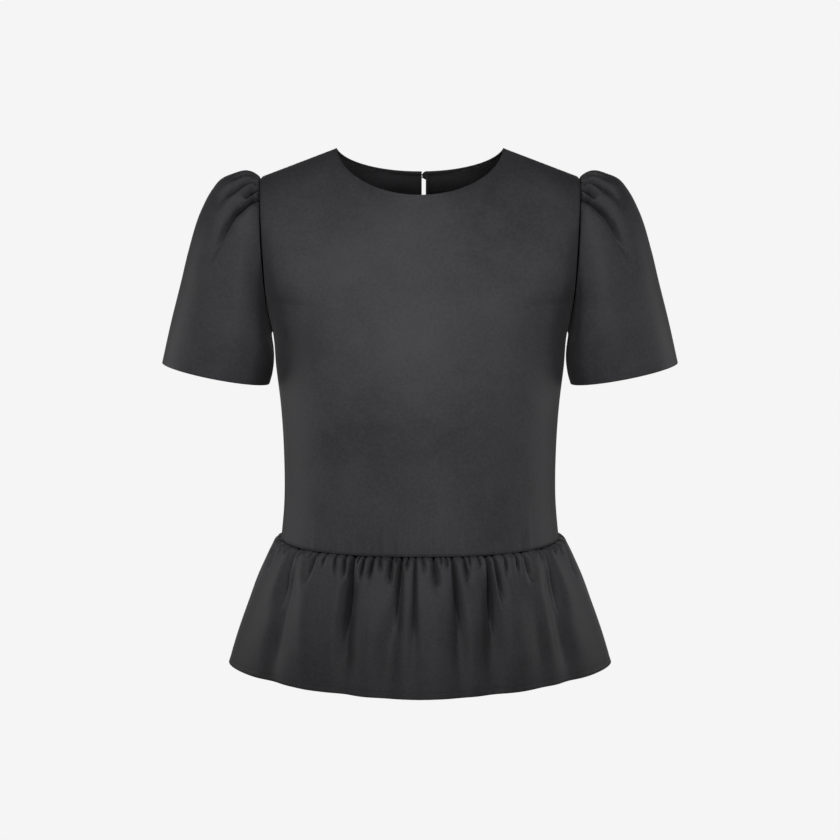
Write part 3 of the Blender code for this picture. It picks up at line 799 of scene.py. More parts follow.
    def fill_slit(self, sheet: ClothSheet, ids: Array, rises: Array) -> None:
        """Fills the back panel above the chest line on both sides of the slit, and turns in its edges.

        Args:
            sheet: The sheet being built.
            ids: Point numbers of the panel between the armholes.
            rises: Shares of the height of its rows.
        """
        foot = int(np.searchsorted(rises, self.slit_foot))
        edge = ids.shape[1] // 2
        sheet.fill(ids[: foot + 1])
        left = ids[foot:, :edge]
        right = ids[foot:, edge:]
        sheet.fill(left)
        sheet.fill(right)
        sheet.turn_borders(left, None, SLIT_EDGE)
        sheet.turn_borders(right, None, None, None, SLIT_EDGE)
        columns = self.shoulder_columns
        for part, way in (
            (left[:, : columns + 1], SEAM_ALLOWANCE),
            (left[:, columns:], NECK_EDGE),
            (right[:, -columns - 1 :], SEAM_ALLOWANCE),
            (right[:, :-columns], NECK_EDGE),
        ):
            sheet.turn_borders(part, None, None, way)


@dataclass
class Sleeve:
    """A short sleeve, gathered into the armhole over its head.

    Attributes:
        torso: The bodice's form, which gives the armhole.
        side: The wearer's side that it is on.
        silk: Its material.
        thread: The material of its hem's stitches.
    """

    torso: Torso
    side: Side
    silk: Material
    thread: Material
    thickness: float = 0.0003
    seam_gap: float = 0.0003
    spread: float = 3.0
    head_share: float = 0.24
    # shift of the back's valleys against the front's, strength of them all, distance to their full depth
    back_shift: float = -0.004
    gather_strength: float = 1.9
    full_depth_at: float = 0.03
    # cloth shares past the head at which the puff has faded out, and over which it fades
    puff_past_head: float = 0.09
    puff_fade: float = 0.08
    # above 1 the rows crowd towards the armhole
    row_crowding: float = 1.5
    plain_columns: int = 64
    rows: int = 98
    hem_stitch_up: float = 0.0100
    sleeve_length: float = 0.2526
    flat: tuple[float, float] = (0.46, 0.28)
    flat_area: float = 0.085
    # cloth share from the shoulder tip at the seam and at the valley's end, first and last share down the
    # sleeve, half width towards the tip and away from it, depth: the front's valleys
    grooves: Table = (
        (0.040, 0.080, 0.000, 0.150, 0.015, 0.013, 0.0085),
        (0.098, 0.105, 0.000, 0.050, 0.008, 0.007, 0.0035),
        (0.138, 0.118, 0.000, 0.270, 0.019, 0.014, 0.0085),
        (0.165, 0.162, 0.000, 0.040, 0.007, 0.006, 0.0026),
        (0.186, 0.184, 0.000, 0.140, 0.016, 0.010, 0.0062),
        (0.200, 0.199, 0.000, 0.035, 0.006, 0.005, 0.0018),
        (0.213, 0.155, 0.000, 0.560, 0.026, 0.013, 0.0054),
    )
    gather_columns: int = 140
    # share, upper line x and z, underarm line x and z, half depth
    sections: Table = (
        (0.000, 0.1701, -0.0307, 0.1587, -0.1958, 0.0560),
        (0.060, 0.1840, -0.0256, 0.1598, -0.1992, 0.0590),
        (0.117, 0.1980, -0.0282, 0.1600, -0.2030, 0.0615),
        (0.175, 0.2117, -0.0338, 0.1597, -0.2068, 0.0635),
        (0.232, 0.2214, -0.0445, 0.1592, -0.2103, 0.0645),
        (0.330, 0.2335, -0.0658, 0.1580, -0.2160, 0.0650),
        (0.508, 0.2480, -0.1086, 0.1574, -0.2262, 0.0635),
        (0.640, 0.2561, -0.1408, 0.1580, -0.2335, 0.0620),
        (0.816, 0.2672, -0.1839, 0.1597, -0.2435, 0.0590),
        (1.000, 0.2777, -0.2293, 0.1624, -0.2527, 0.0545),
    )
    # cloth share round the sleeve from the shoulder tip, share of the armhole seam it is sewn to
    fullness: Table = (
        (0.00, 0.000),
        (0.06, 0.019),
        (0.12, 0.040),
        (0.17, 0.060),
        (0.25, 0.150),
        (0.37, 0.322),
        (0.50, 0.500),
    )
    # share down the sleeve, how far the gathered cloth puffs out
    puff: Table = (
        (0.000, 0.0000),
        (0.020, 0.0012),
        (0.060, 0.0020),
        (0.140, 0.0014),
        (0.260, 0.0004),
        (0.360, 0.0000),
        (1.000, 0.0000),
    )

    def __post_init__(self) -> None:
        """Measures the armhole seam once."""
        self.seam = self.torso.armhole()
        steps = np.linalg.norm(np.diff(self.seam, axis=0), axis=1)
        self.seam_run = np.concatenate([[0.0], np.cumsum(steps)])

    def armhole_point(self, share: Array) -> Array:
        """Point on the armhole seam at a share of its length from the shoulder tip."""
        run = (share % 1.0) * self.seam_run[-1]
        line = point(*[np.interp(run, self.seam_run, self.seam[:, axis]) for axis in range(3)])
        return line + np.array([self.seam_gap, 0.0, 0.0])

    def ring(self, cloth: Array, along: Array) -> Array:
        """Point on the sleeve's plain ring, by cloth share round it and share down it."""
        turn = 2 * math.pi * cloth
        over_x, over_z, under_x, under_z, depth = (smooth(self.sections, c, along) for c in range(1, 6))
        high = (1 + np.cos(turn)) / 2
        x = under_x + high * (over_x - under_x)
        z = under_z + high * (over_z - under_z)
        return point(x, -depth * np.sin(turn), z)

    def form(self, cloth: Array, along: Array) -> Array:
        """Point on the sleeve without its gathers: it leaves the seam and spreads onto the plain rings."""
        around = (cloth + 0.5) % 1.0 - 0.5
        sewn = np.sign(around) * smooth(self.fullness, 1, np.abs(around))
        pull = self.armhole_point(sewn) - self.ring(cloth, np.zeros_like(along))
        return self.ring(cloth, along) + pull * ((1 - along) ** self.spread)[..., None]

    def relief(self, cloth: Array, along: Array) -> Array:
        """Height of the gathers and large folds over the sleeve's form."""
        around = (cloth + 0.5) % 1.0 - 0.5
        over_head = ease((self.head_share + self.puff_past_head - np.abs(around)) / self.puff_fade)
        height = smooth(self.puff, 1, along) * over_head
        for grooves in (self.grooves, mirrored(self.grooves, self.back_shift, 2)):
            gathers = Valleys(grooves, self.full_depth_at, strength=self.gather_strength)
            height = height - gathers.depth(around, along)
        height = height - sunk(along * self.sleeve_length)
        hem = (1 - along) * self.sleeve_length - self.hem_stitch_up
        return height - hem_groove(hem)

    def surface(self, cloth: Array, along: Array) -> tuple[Array, Array]:
        """Points on the dressed sleeve and the form's outward directions there."""
        outward = facing_out(self.form, cloth, along, (0.0, 1.0))
        return self.form(cloth, along) + outward * self.relief(cloth, along)[..., None], outward

    def build(self) -> bpy.types.Object:
        """Makes the sleeve and its hem's stitches."""
        name = f"silk_sleeve_{self.side.name.lower()}"
        head = np.linspace(-self.head_share, self.head_share, 2 * self.gather_columns + 1)
        grooves = [*self.grooves, *mirrored(self.grooves, self.back_shift, 2)]
        head = Valleys(grooves, self.full_depth_at).crowd(head)
        plain = np.linspace(self.head_share, 0.5, self.plain_columns // 2 + 1)[1:]
        cloth = np.concatenate([-plain[::-1], head, plain])
        rows = np.linspace(0.0, 1.0, self.rows + 1) ** self.row_crowding
        grid_cloth, grid_along = np.meshgrid(cloth, rows)
        points, outward = self.surface(grid_cloth, grid_along)
        sheet = ClothSheet(name, self.thickness)
        sheet.turn_borders(sheet.add_grid(points, outward), SEAM_ALLOWANCE, None, SLEEVE_HEM)
        sleeve = sheet.build(self.side)
        dress(sleeve, self.silk, f"sleeve_{self.side.name.lower()}")

        share = 1 - self.hem_stitch_up / self.sleeve_length
        dense = np.linspace(0.0, 1.0, 1201)
        line, normals = self.surface(dense, np.full_like(dense, share))
        stitches = StitchLine(f"{name}_hem_stitches", self.thread).build(line, normals, self.side)
        return sleeve


@dataclass
class StitchLine:
    """A row of machine stitches along a line on the cloth.

    Attributes:
        name: The piece's name.
        thread: Its material.
    """

    name: str
    thread: Material
    pitch: float = 0.0030
    stitch: float = 0.0023
    radius: float = 0.00016
    # how blunt its ends are, and how far its middle stands off the cloth as a share of its radius
    blunt: float = 0.06
    stand_off: float = 0.8
    rings: int = 5
    corners: int = 5

    def build(self, line: Array, normals: Array, side: Side = Side.LEFT) -> bpy.types.Object:
        """Lays the stitches.

        Args:
            line: Dense points along the cloth.
            normals: Outward directions there.
            side: RIGHT mirrors them.

        Returns:
            One object with all stitches.
        """
        run = run_length(line[None], 1)[0]
        starts = np.arange(self.pitch / 2, run[-1] - self.stitch, self.pitch)
        share = np.linspace(0.0, 1.0, self.rings)
        at = starts[:, None] + share[None, :] * self.stitch
        centre = point(*[np.interp(at, run, line[:, axis]) for axis in range(3)])
        outward = unit(point(*[np.interp(at, run, normals[:, axis]) for axis in range(3)]))
        forward = unit(centre[:, -1:] - centre[:, :1])
        sideways = np.cross(outward, forward)
        swell = np.sin(math.pi * (self.blunt + (1 - 2 * self.blunt) * share))[None, :, None]
        turn = 2 * math.pi * np.arange(self.corners) / self.corners
        rim = np.cos(turn)[:, None] * outward[:, :, None] + np.sin(turn)[:, None] * sideways[:, :, None]
        centre = centre + outward * (self.radius * self.stand_off * swell)
        points = centre[:, :, None] + rim * (self.radius * swell[..., None])
        count = points.shape[0]
        ids = np.arange(count * self.rings * self.corners).reshape(count, self.rings, self.corners)
        around = np.concatenate([ids, ids[:, :, :1]], axis=2)
        corners = (around[:, :-1, :-1], around[:, :-1, 1:], around[:, 1:, 1:], around[:, 1:, :-1])
        quads = np.stack(corners, axis=-1)
        faces = quads.reshape(-1, 4).tolist()
        faces += ids[:, 0, ::-1].tolist() + ids[:, -1].tolist()
        flip = np.array([float(side.value), 1.0, 1.0])
        if side is Side.LEFT:
            faces = [face[::-1] for face in faces]
        mesh = bpy.data.meshes.new(self.name)
        mesh.from_pydata((points.reshape(-1, 3) * flip).tolist(), [], faces)
        mesh.shade_smooth()
        mesh.materials.append(self.thread)
        stitches = bpy.data.objects.new(self.name, mesh)
        bpy.context.scene.collection.objects.link(stitches)
        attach(stitches, "root")
        return stitches


@dataclass
class PeplumPanel:
    """One peplum panel between the side seams, gathered into the waist seam.

    Attributes:
        torso: The bodice's form, which gives the waist seam.
        facing: The side of the body it covers.
        silk: Its material.
        thread: The material of its hem's stitches.
        valleys: The gathers' valleys, in degrees and metres.
        folds: The large folds.
    """

    torso: Torso
    facing: Facing
    silk: Material
    thread: Material
    valleys: Table
    folds: Table
    thickness: float = 0.0003
    seam_gap: float = 0.0003
    seam_inset: float = 0.0001
    length: float = 0.1401
    hem_squareness: float = 1.65
    # strength of the gathers, distance to their full depth, and degrees over which they fade at the sides
    gather_strength: float = 1.7
    full_depth_at: float = 0.006
    side_fade: float = 1.2
    # share of the height that the large folds lose at the hem, and share of the drop from which they do
    fold_loss: float = 0.45
    fold_loss_from: float = 0.7
    # above 1 the rows crowd towards the waist seam
    row_crowding: float = 1.6
    rows: int = 66
    hem_stitch_up: float = 0.0065
    flat: tuple[float, float] = (0.66, 0.160)
    columns: int = 600
    # drop below the waist seam, half width, depth to the front, depth to the back
    sections: Table = (
        (0.0000, 0.1506, 0.1196, 0.0956),
        (0.0040, 0.1545, 0.1232, 0.0990),
        (0.0150, 0.1615, 0.1290, 0.1046),
        (0.0370, 0.1735, 0.1375, 0.1135),
        (0.0710, 0.1872, 0.1485, 0.1262),
        (0.1040, 0.1990, 0.1580, 0.1382),
        (0.1401, 0.2100, 0.1675, 0.1500),
    )
    # drop below the waist seam, how far the ridges stand off the form
    puff: Table = (
        (0.000, 0.0006),
        (0.003, 0.0030),
        (0.010, 0.0030),
        (0.030, 0.0014),
        (0.060, 0.0005),
        (0.090, 0.0000),
        (0.1402, 0.0000),
    )

    @property
    def middle(self) -> float:
        """Angle of the panel's centre."""
        return 0.0 if self.facing is Facing.FRONT else math.pi

    def form(self, angle: Array, drop: Array) -> Array:
        """Point on the panel without its gathers."""
        torso = self.torso
        sizes = [smooth(self.sections, column, drop) for column in (1, 2, 3)]
        squareness = torso.squareness + (self.hem_squareness - torso.squareness) * drop / self.length
        x, y = oval(angle, *sizes, squareness)
        height = torso.waist_z - self.seam_gap - drop * (1 - self.seam_gap / self.length)
        return point(x, y + torso.side_y, height)

    def relief(self, angle: Array, drop: Array) -> Array:
        """Height of the gathers and large folds over the panel's form."""
        degrees = np.degrees(angle - self.middle)
        to_side = 1 - np.exp(-((np.abs(np.abs(degrees) - 90) / self.side_fade) ** 2))
        gathers = Valleys(self.valleys, self.full_depth_at, strength=self.gather_strength)
        height = (smooth(self.puff, 1, drop) - gathers.depth(degrees, drop)) * to_side
        height = height - sunk(drop, 0.0007, 0.0008)
        down = drop / self.length
        for at_waist, at_hem, first, full, waist_width, hem_width, rise in self.folds:
            centre = at_waist + (at_hem - at_waist) * down
            half_width = waist_width + (hem_width - waist_width) * down
            grown = ease((drop - first) / (full - first))
            past = (down - self.fold_loss_from) / (1 - self.fold_loss_from)
            grown = grown * (1 - self.fold_loss * ease(past))
            height = height + rise * grown * np.exp(-(((degrees - centre) / half_width) ** 2))
        hem = self.length - drop - self.hem_stitch_up
        return height - hem_groove(hem)

    def surface(self, angle: Array, drop: Array) -> tuple[Array, Array]:
        """Points on the dressed panel and the form's outward directions there."""
        outward = facing_out(self.form, angle, drop, (0.0, self.length), -1)
        return self.form(angle, drop) + outward * self.relief(angle, drop)[..., None], outward

    def build(self) -> bpy.types.Object:
        """Makes the panel and its hem's stitches."""
        name = f"silk_peplum_{self.facing.name.lower()}"
        inset = self.seam_inset / self.sections[0][1]
        half_turn = math.pi / 2 - inset
        degrees = np.linspace(-90.0, 90.0, self.columns + 1)
        degrees = Valleys(self.valleys, self.full_depth_at).crowd(degrees)
        angles = self.middle + degrees / 90.0 * half_turn
        drops = self.length * np.linspace(0.0, 1.0, self.rows + 1) ** self.row_crowding
        grid_angle, grid_drop = np.meshgrid(angles, drops[::-1])
        points, outward = self.surface(grid_angle, grid_drop)
        sheet = ClothSheet(name, self.thickness)
        ways = (PEPLUM_HEM, SEAM_ALLOWANCE, SEAM_ALLOWANCE, SEAM_ALLOWANCE)
        sheet.turn_borders(sheet.add_grid(points, outward), *ways)
        panel = sheet.build()
        dress(panel, self.silk, f"peplum_{self.facing.name.lower()}")

        dense = self.middle + np.linspace(-half_turn, half_turn, 1601)
        line, normals = self.surface(dense, np.full_like(dense, self.length - self.hem_stitch_up))
        stitches = StitchLine(f"{name}_hem_stitches", self.thread).build(line, normals)
        return panel


# valleys of the front peplum's gathers: angle from the centre in degrees at the seam and at the end,
# drops where it starts and ends, half width in degrees to the right and to the left, depth
WAIST_VALLEYS: Table = (
    (-82.5, -81.0, 0.0, 0.022, 2.08, 1.3, 0.0028),
    (-78.1, -75.8, 0.0, 0.036, 2.47, 1.3, 0.0037),
    (-72.0, -71.2, 0.0, 0.012, 1.04, 1.04, 0.0018),
    (-66.8, -66.6, 0.0, 0.010, 1.04, 1.04, 0.0021),
    (-60.8, -62.0, 0.0, 0.085, 3.12, 1.43, 0.0055),
    (-57.4, -57.3, 0.0, 0.011, 1.04, 0.91, 0.0018),
    (-51.8, -52.5, 0.0, 0.010, 1.04, 1.04, 0.0021),
    (-48.8, -50.8, 0.0, 0.040, 2.47, 1.17, 0.0041),
    (-44.6, -44.5, 0.0, 0.018, 1.3, 1.04, 0.0025),
    (-39.9, -37.2, 0.0, 0.030, 1.04, 1.17, 0.0025),
    (-35.5, -33.2, 0.0, 0.034, 1.3, 1.3, 0.0034),
    (-31.1, -30.6, 0.0, 0.120, 2.6, 1.17, 0.0069),
    (-28.8, -29.0, 0.0, 0.012, 0.78, 0.78, 0.0014),
    (-26.5, -26.8, 0.0, 0.034, 1.17, 1.17, 0.0032),
    (-22.1, -23.0, 0.0, 0.032, 1.82, 0.91, 0.0039),
    (-19.1, -17.6, 0.0, 0.020, 1.04, 1.04, 0.0018),
    (-13.6, -13.3, 0.0, 0.036, 1.69, 1.04, 0.0034),
    (-11.4, -11.2, 0.0, 0.009, 0.78, 0.78, 0.0016),
    (-9.0, -9.5, 0.0, 0.100, 1.95, 1.69, 0.0041),
    (-5.6, -6.9, 0.0, 0.017, 1.04, 1.04, 0.0021),
    (-2.2, -2.2, 0.0, 0.105, 0.91, 0.91, 0.0034),
    (1.2, 3.2, 0.0, 0.020, 1.04, 1.04, 0.0018),
    (6.8, 8.0, 0.0, 0.042, 1.82, 1.43, 0.0041),
    (10.2, 10.0, 0.0, 0.011, 0.78, 0.78, 0.0014),
    (12.9, 12.9, 0.0, 0.014, 1.04, 0.91, 0.0018),
    (15.4, 16.1, 0.0, 0.105, 1.04, 1.82, 0.0046),
    (20.9, 21.6, 0.0, 0.034, 1.04, 1.82, 0.0030),
    (23.8, 22.2, 0.0, 0.017, 0.91, 0.91, 0.0018),
    (27.9, 27.8, 0.0, 0.016, 0.91, 1.04, 0.0021),
    (31.4, 29.4, 0.0, 0.110, 1.04, 2.47, 0.0064),
    (34.9, 35.4, 0.0, 0.068, 1.56, 1.69, 0.0037),
    (39.9, 38.1, 0.0, 0.030, 0.91, 0.91, 0.0028),
    (45.3, 43.5, 0.0, 0.030, 1.17, 1.17, 0.0025),
    (48.9, 49.0, 0.0, 0.038, 1.17, 2.08, 0.0039),
    (52.0, 53.0, 0.0, 0.009, 0.91, 0.91, 0.0018),
    (58.0, 56.0, 0.0, 0.014, 1.04, 1.04, 0.0018),
    (60.7, 62.5, 0.0, 0.095, 1.43, 2.86, 0.0055),
    (67.2, 66.6, 0.0, 0.010, 1.04, 1.04, 0.0021),
    (72.8, 71.5, 0.0, 0.014, 1.04, 1.04, 0.0018),
    (80.8, 75.2, 0.0, 0.044, 1.3, 2.47, 0.0039),
)

# large folds of the peplum: angle from the centre at the waist and at the hem in degrees, drops between
# which the fold grows, half width in degrees at the waist and at the hem, height
FRONT_FOLDS: Table = (
    (-56.4, -60.5, 0.004, 0.050, 2.2, 5.0, -0.0075),
    (-51.0, -44.0, 0.010, 0.070, 2.6, 5.5, 0.0040),
    (-30.0, -29.0, 0.004, 0.040, 2.4, 5.0, -0.0090),
    (-21.0, -20.0, 0.015, 0.080, 2.6, 4.5, 0.0030),
    (-11.0, -12.0, 0.012, 0.090, 2.4, 4.6, -0.0063),
    (-2.6, -2.6, 0.008, 0.080, 1.5, 3.0, -0.0030),
    (6.0, 6.5, 0.015, 0.090, 2.6, 4.4, 0.0028),
    (15.2, 15.6, 0.004, 0.080, 2.2, 4.2, -0.0060),
    (30.0, 27.5, 0.004, 0.050, 2.2, 5.4, -0.0084),
    (40.0, 38.0, 0.012, 0.080, 3.0, 6.0, 0.0036),
    (48.0, 49.0, 0.020, 0.100, 2.4, 4.4, -0.0030),
    (56.6, 61.0, 0.004, 0.050, 2.2, 5.0, -0.0078),
)
BACK_FOLDS: Table = (
    (-58.0, -61.0, 0.004, 0.060, 2.4, 5.2, -0.0072),
    (-45.0, -42.0, 0.012, 0.080, 3.0, 6.0, 0.0036),
    (-33.0, -31.0, 0.004, 0.050, 2.4, 5.0, -0.0084),
    (-19.0, -19.5, 0.015, 0.090, 2.6, 4.6, 0.0030),
    (-8.0, -9.0, 0.004, 0.060, 2.2, 4.4, -0.0066),
    (5.0, 5.5, 0.010, 0.090, 2.6, 4.6, 0.0028),
    (17.0, 17.5, 0.004, 0.070, 2.4, 4.6, -0.0069),
    (27.0, 28.0, 0.015, 0.090, 2.8, 5.0, 0.0032),
    (38.0, 37.0, 0.004, 0.050, 2.3, 5.0, -0.0081),
    (55.0, 59.0, 0.006, 0.060, 2.4, 5.0, -0.0072),
)


class NodeSketch:
    """Adds nodes to a material or world and lays them out from left to right."""

    def __init__(self, tree: bpy.types.NodeTree) -> None:
        """Starts on a node tree.

        Args:
            tree: The tree that takes the nodes.
        """
        self.tree = tree
        self.column = 0

    def add(
        self,
        kind: str,
        settings: dict[str, object] | None = None,
        links: dict[str | int, Socket] | None = None,
        values: dict[str | int, object] | None = None,
    ) -> bpy.types.Node:
        """Adds one node.

        Args:
            kind: The node's type name.
            settings: Its properties.
            links: Sockets that feed its inputs.
            values: Fixed values of its inputs.

        Returns:
            The node.
        """
        node = self.tree.nodes.new(kind)
        node.location = (self.column * 200 - 1600, 0)
        self.column += 1
        for name, value in (settings or {}).items():
            setattr(node, name, value)
        for name, value in (values or {}).items():
            node.inputs[name].default_value = value
        for name, socket in (links or {}).items():
            self.tree.links.new(socket, node.inputs[name])
        return node

    def noise(self, place: Socket, size_mm: float, detail: float, rough: float) -> Socket:
        """Adds a noise with features of a size in millimetres and gives its value."""
        values = {"Scale": 1000 / size_mm, "Detail": detail, "Roughness": rough}
        return self.add("ShaderNodeTexNoise", links={"Vector": place}, values=values).outputs["Fac"]

    def wave(self, way: str, place: Socket, values: dict[str, float]) -> Socket:
        """Adds waves that run in one direction and gives their value."""
        settings = {"bands_direction": way}
        return self.add("ShaderNodeTexWave", settings, {"Vector": place}, values).outputs["Fac"]

    def spread(self, value: Socket, **ends: float) -> Socket:
        """Adds a change of range, whose ends are named like from_min, and gives its result."""
        values = {name.replace("_", " ").title(): end for name, end in ends.items()}
        return self.add("ShaderNodeMapRange", links={"Value": value}, values=values).outputs[0]

    def tint(self, share: Socket, colour: str, other: str) -> Socket:
        """Adds a mix of two sRGB colours and gives it."""
        values = {6: linear_colour(colour), 7: linear_colour(other)}
        return self.add("ShaderNodeMix", {"data_type": "RGBA"}, {"Factor": share}, values).outputs[2]

    def bump(self, strength: float, depth: float, **links: Socket) -> Socket:
        """Adds a bump fed by Height, and by Normal where it lies on another, and gives its normal."""
        values = {"Strength": strength, "Distance": depth}
        return self.add("ShaderNodeBump", links=links, values=values).outputs[0]


def new_material(name: str) -> tuple[Material, NodeSketch, bpy.types.Node]:
    """Makes a material.

    Args:
        name: Its name.

    Returns:
        The material, a sketch that adds nodes to it, and its shader.
    """
    material = bpy.data.materials.new(name)
    material.use_nodes = True
    return material, NodeSketch(material.node_tree), material.node_tree.nodes["Principled BSDF"]


def finish_shader(sketch: NodeSketch, shader: bpy.types.Node, **inputs: object) -> None:
    """Links or sets a shader's inputs.

    Args:
        sketch: The sketch of the material.
        shader: Its shader.
        inputs: Sockets or values, named like the inputs, with low lines for spaces.
    """
    for name, value in inputs.items():
        socket = shader.inputs[name.replace("_", " ")]
        if isinstance(value, Socket):
            sketch.tree.links.new(value, socket)
        else:
            socket.default_value = value


@dataclass(frozen=True)
class WashedSilk:
    """Washed silk, woven from fine filament yarn and tumbled: a soft, slightly mottled gloss.

    The yarns are smooth, so the cloth mirrors broad lights softly and shines along its grazing edges.
    Washing leaves it slightly mottled and pebbled.
    """

    name: str = "washed_silk"
    colour: str = "#3c3c3e"
    lighter: str = "#48484b"
    roughness: float = 0.58
    specular: float = 0.30
    sheen: float = 0.08
    # about four yarns to a millimetre; drawn two to a millimetre so that it shows close up
    yarn_pitch_mm: float = 0.5
    grain_mm: float = 3.2
    cloud_mm: float = 55.0

    def build(self) -> Material:
        """Makes the material."""
        material, sketch, shader = new_material(self.name)
        place = sketch.add("ShaderNodeTexCoord").outputs
        cloud = sketch.noise(place["Object"], self.cloud_mm, 4.0, 0.6)
        grain = sketch.noise(place["Object"], self.grain_mm, 3.0, 0.7)
        mixed = sketch.add("ShaderNodeMath", {"operation": "ADD"}, {0: cloud, 1: grain}).outputs[0]
        shade = sketch.spread(mixed, from_min=0.8, from_max=1.2)
        tint = sketch.tint(shade, self.colour, self.lighter)
        low, high = self.roughness - 0.05, self.roughness + 0.07
        gloss = sketch.spread(mixed, from_min=0.7, from_max=1.3, to_min=low, to_max=high)
        turns = {"Scale": 1000 / self.yarn_pitch_mm / 20, "Distortion": 0.3}
        warp, weft = (sketch.wave(way, place["UV"], turns) for way in "XY")
        weave = sketch.add("ShaderNodeMath", {"operation": "MULTIPLY"}, {0: warp, 1: weft}).outputs[0]
        fine = sketch.bump(0.12, 0.0001, Height=weave)
        rough = sketch.bump(0.55, 0.0004, Height=grain, Normal=fine)
        finish_shader(
            sketch,
            shader,
            Base_Color=tint,
            Roughness=gloss,
            Normal=rough,
            Specular_IOR_Level=self.specular,
            Sheen_Weight=self.sheen,
            Sheen_Roughness=0.35,
        )
        return material


@dataclass(frozen=True)
class SilkThread:
    """Spun silk thread, twisted from two plies: darker than the cloth and a little duller."""

    name: str = "silk_thread"
    colour: str = "#1c1c1e"
    lighter: str = "#2a2a2c"
    roughness: float = 0.6
    specular: float = 0.1
    ply_mm: float = 0.6

    def build(self) -> Material:
        """Makes the material."""
        material, sketch, shader = new_material(self.name)
        place = sketch.add("ShaderNodeTexCoord").outputs["Object"]
        ply = sketch.wave("DIAGONAL", place, {"Scale": 1000 / self.ply_mm / 20})
        tint = sketch.tint(ply, self.colour, self.lighter)
        bump = sketch.bump(0.3, 0.0001, Height=ply)
        finish_shader(
            sketch,
            shader,
            Base_Color=tint,
            Normal=bump,
            Roughness=self.roughness,
            Specular_IOR_Level=self.specular,
        )
        return material


@dataclass
class NeckClosure:
    """The button at the top of the back slit and the loop that holds it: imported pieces, dressed here."""

    silk: Material
    thread: Material

    def dress(self) -> None:
        """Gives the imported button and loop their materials."""
        for node, material in (("neck_button", self.silk), ("button_loop", self.thread)):
            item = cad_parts[node]
            item.data.materials.clear()
            item.data.materials.append(material)


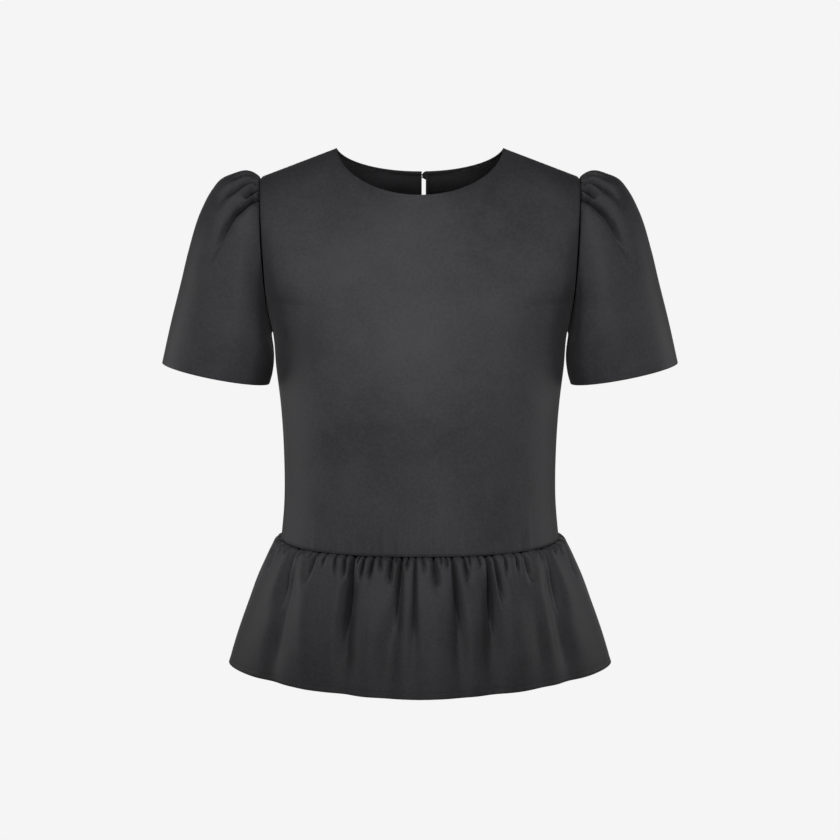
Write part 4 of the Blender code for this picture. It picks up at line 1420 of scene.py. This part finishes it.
@dataclass
class Studio:
    """Pale surroundings, soft lights and the camera.

    Attributes:
        surround: sRGB colour of the floor and of the backdrop all round.
        room: sRGB colour of the light that the dim room gives.
    """

    surround: str = "#f5f5f5"
    room: str = "#38383a"
    floor_z: float = -1.10
    camera_place: Place = (0.0, -2.5747, 0.0693)
    target: Place = (0.0, 0.0, -0.2925)
    lens: float = 103.0
    chest: Place = (0.0, -0.10, -0.18)
    spot_degrees: float = 24.0

    def floor(self) -> None:
        """Lays a pale, evenly lit floor."""
        bpy.ops.mesh.primitive_plane_add(size=60.0, location=(0.0, 0.0, self.floor_z))
        floor = bpy.context.object
        floor.name = "floor"
        material, sketch, shader = new_material("pale_floor")
        finish_shader(
            sketch,
            shader,
            Base_Color=(0.0, 0.0, 0.0, 1.0),
            Specular_IOR_Level=0.0,
            Emission_Color=linear_colour(self.surround),
            Emission_Strength=1.0,
        )
        floor.data.materials.append(material)
        floor.visible_diffuse = False
        floor.visible_glossy = False

    def surroundings(self) -> None:
        """Makes the surroundings pale to the camera, and a dimmer room that fills the shadows."""
        world = bpy.data.worlds.new("studio")
        bpy.context.scene.world = world
        world.use_nodes = True
        sketch = NodeSketch(world.node_tree)
        seen = sketch.add("ShaderNodeLightPath").outputs["Is Camera Ray"]
        background = world.node_tree.nodes["Background"]
        finish_shader(sketch, background, Color=sketch.tint(seen, self.room, self.surround))

    def hang(self, data: bpy.types.ID, place: Place, target: Place) -> bpy.types.Object:
        """Puts a lamp or the camera in its place.

        Args:
            data: The lamp's or the camera's data, whose name the object takes.
            place: Where it hangs.
            target: What it points at.

        Returns:
            The object.
        """
        item = bpy.data.objects.new(data.name, data)
        item.location = place
        item.rotation_euler = (Vector(target) - Vector(place)).to_track_quat("-Z", "Y").to_euler()
        bpy.context.scene.collection.objects.link(item)
        return item

    def light(
        self, name: str, place: Place, size: float, power: float, mirrored_by_cloth: bool = True
    ) -> None:
        """Hangs a square soft light that shines at the blouse.

        Args:
            name: The light's name.
            place: Where it hangs.
            size: Length of its sides.
            power: Its power in watts.
            mirrored_by_cloth: Whether the cloth's gloss shows it.
        """
        data = bpy.data.lights.new(name, "AREA")
        data.size = size
        data.energy = power
        self.hang(data, place, self.target).visible_glossy = mirrored_by_cloth

    def spot(self, name: str, place: Place, radius: float, power: float) -> None:
        """Hangs a lamp that lights the chest most and fades towards the hem.

        Args:
            name: The lamp's name.
            place: Where it hangs.
            radius: Radius of its soft face.
            power: Its power in watts.
        """
        data = bpy.data.lights.new(name, "SPOT")
        data.shadow_soft_size = radius
        data.energy = power
        data.spot_size = math.radians(self.spot_degrees)
        data.spot_blend = 1.0
        self.hang(data, place, self.chest)

    def camera(self) -> None:
        """Sets up the camera in front of the blouse."""
        data = bpy.data.cameras.new("camera")
        data.lens = self.lens
        data.sensor_width = 36.0
        bpy.context.scene.camera = self.hang(data, self.camera_place, self.target)

    def build(self) -> None:
        """Sets up the whole studio."""
        bpy.context.scene.view_settings.view_transform = "Standard"
        self.camera()
        self.floor()
        self.surroundings()
        self.spot("top_lamp", (-0.4, -1.8, 1.5), 0.25, 62.0)
        self.spot("front_lamp", (0.1, -2.6, -0.1), 0.25, 78.0)
        self.spot("right_lamp", (-1.8, -1.7, 0.2), 0.25, 36.0)
        self.spot("left_lamp", (1.8, -1.7, 0.2), 0.25, 32.0)
        self.light("right_strip", (-1.3, 0.3, -0.3), 0.6, 3.2)
        self.light("left_strip", (1.3, 0.3, -0.3), 0.6, 3.2)
        self.light("right_back_lamp", (-0.7, 2.6, 0.5), 0.6, 28.0, mirrored_by_cloth=False)
        self.light("left_back_lamp", (0.7, 2.6, 0.5), 0.6, 28.0, mirrored_by_cloth=False)


def main() -> None:
    """Builds the blouse and its studio."""
    logging.basicConfig(level=logging.INFO, format="%(name)s: %(message)s")
    Studio().build()
    silk = WashedSilk().build()
    thread = SilkThread().build()
    torso = Torso()
    pieces = [BodicePanel(torso, facing, silk).build() for facing in Facing]
    pieces += [Sleeve(torso, side, silk, thread).build() for side in Side]
    for facing, valleys, folds in (
        (Facing.FRONT, WAIST_VALLEYS, FRONT_FOLDS),
        (Facing.BACK, mirrored(WAIST_VALLEYS, 1.3, 7), BACK_FOLDS),
    ):
        pieces.append(PeplumPanel(torso, facing, silk, thread, valleys, folds).build())
    NeckClosure(silk, thread).dress()
    for piece in pieces:
        LOG.info("%s: %d faces", piece.name, len(piece.data.polygons))


if __name__ == "__main__":
    main()
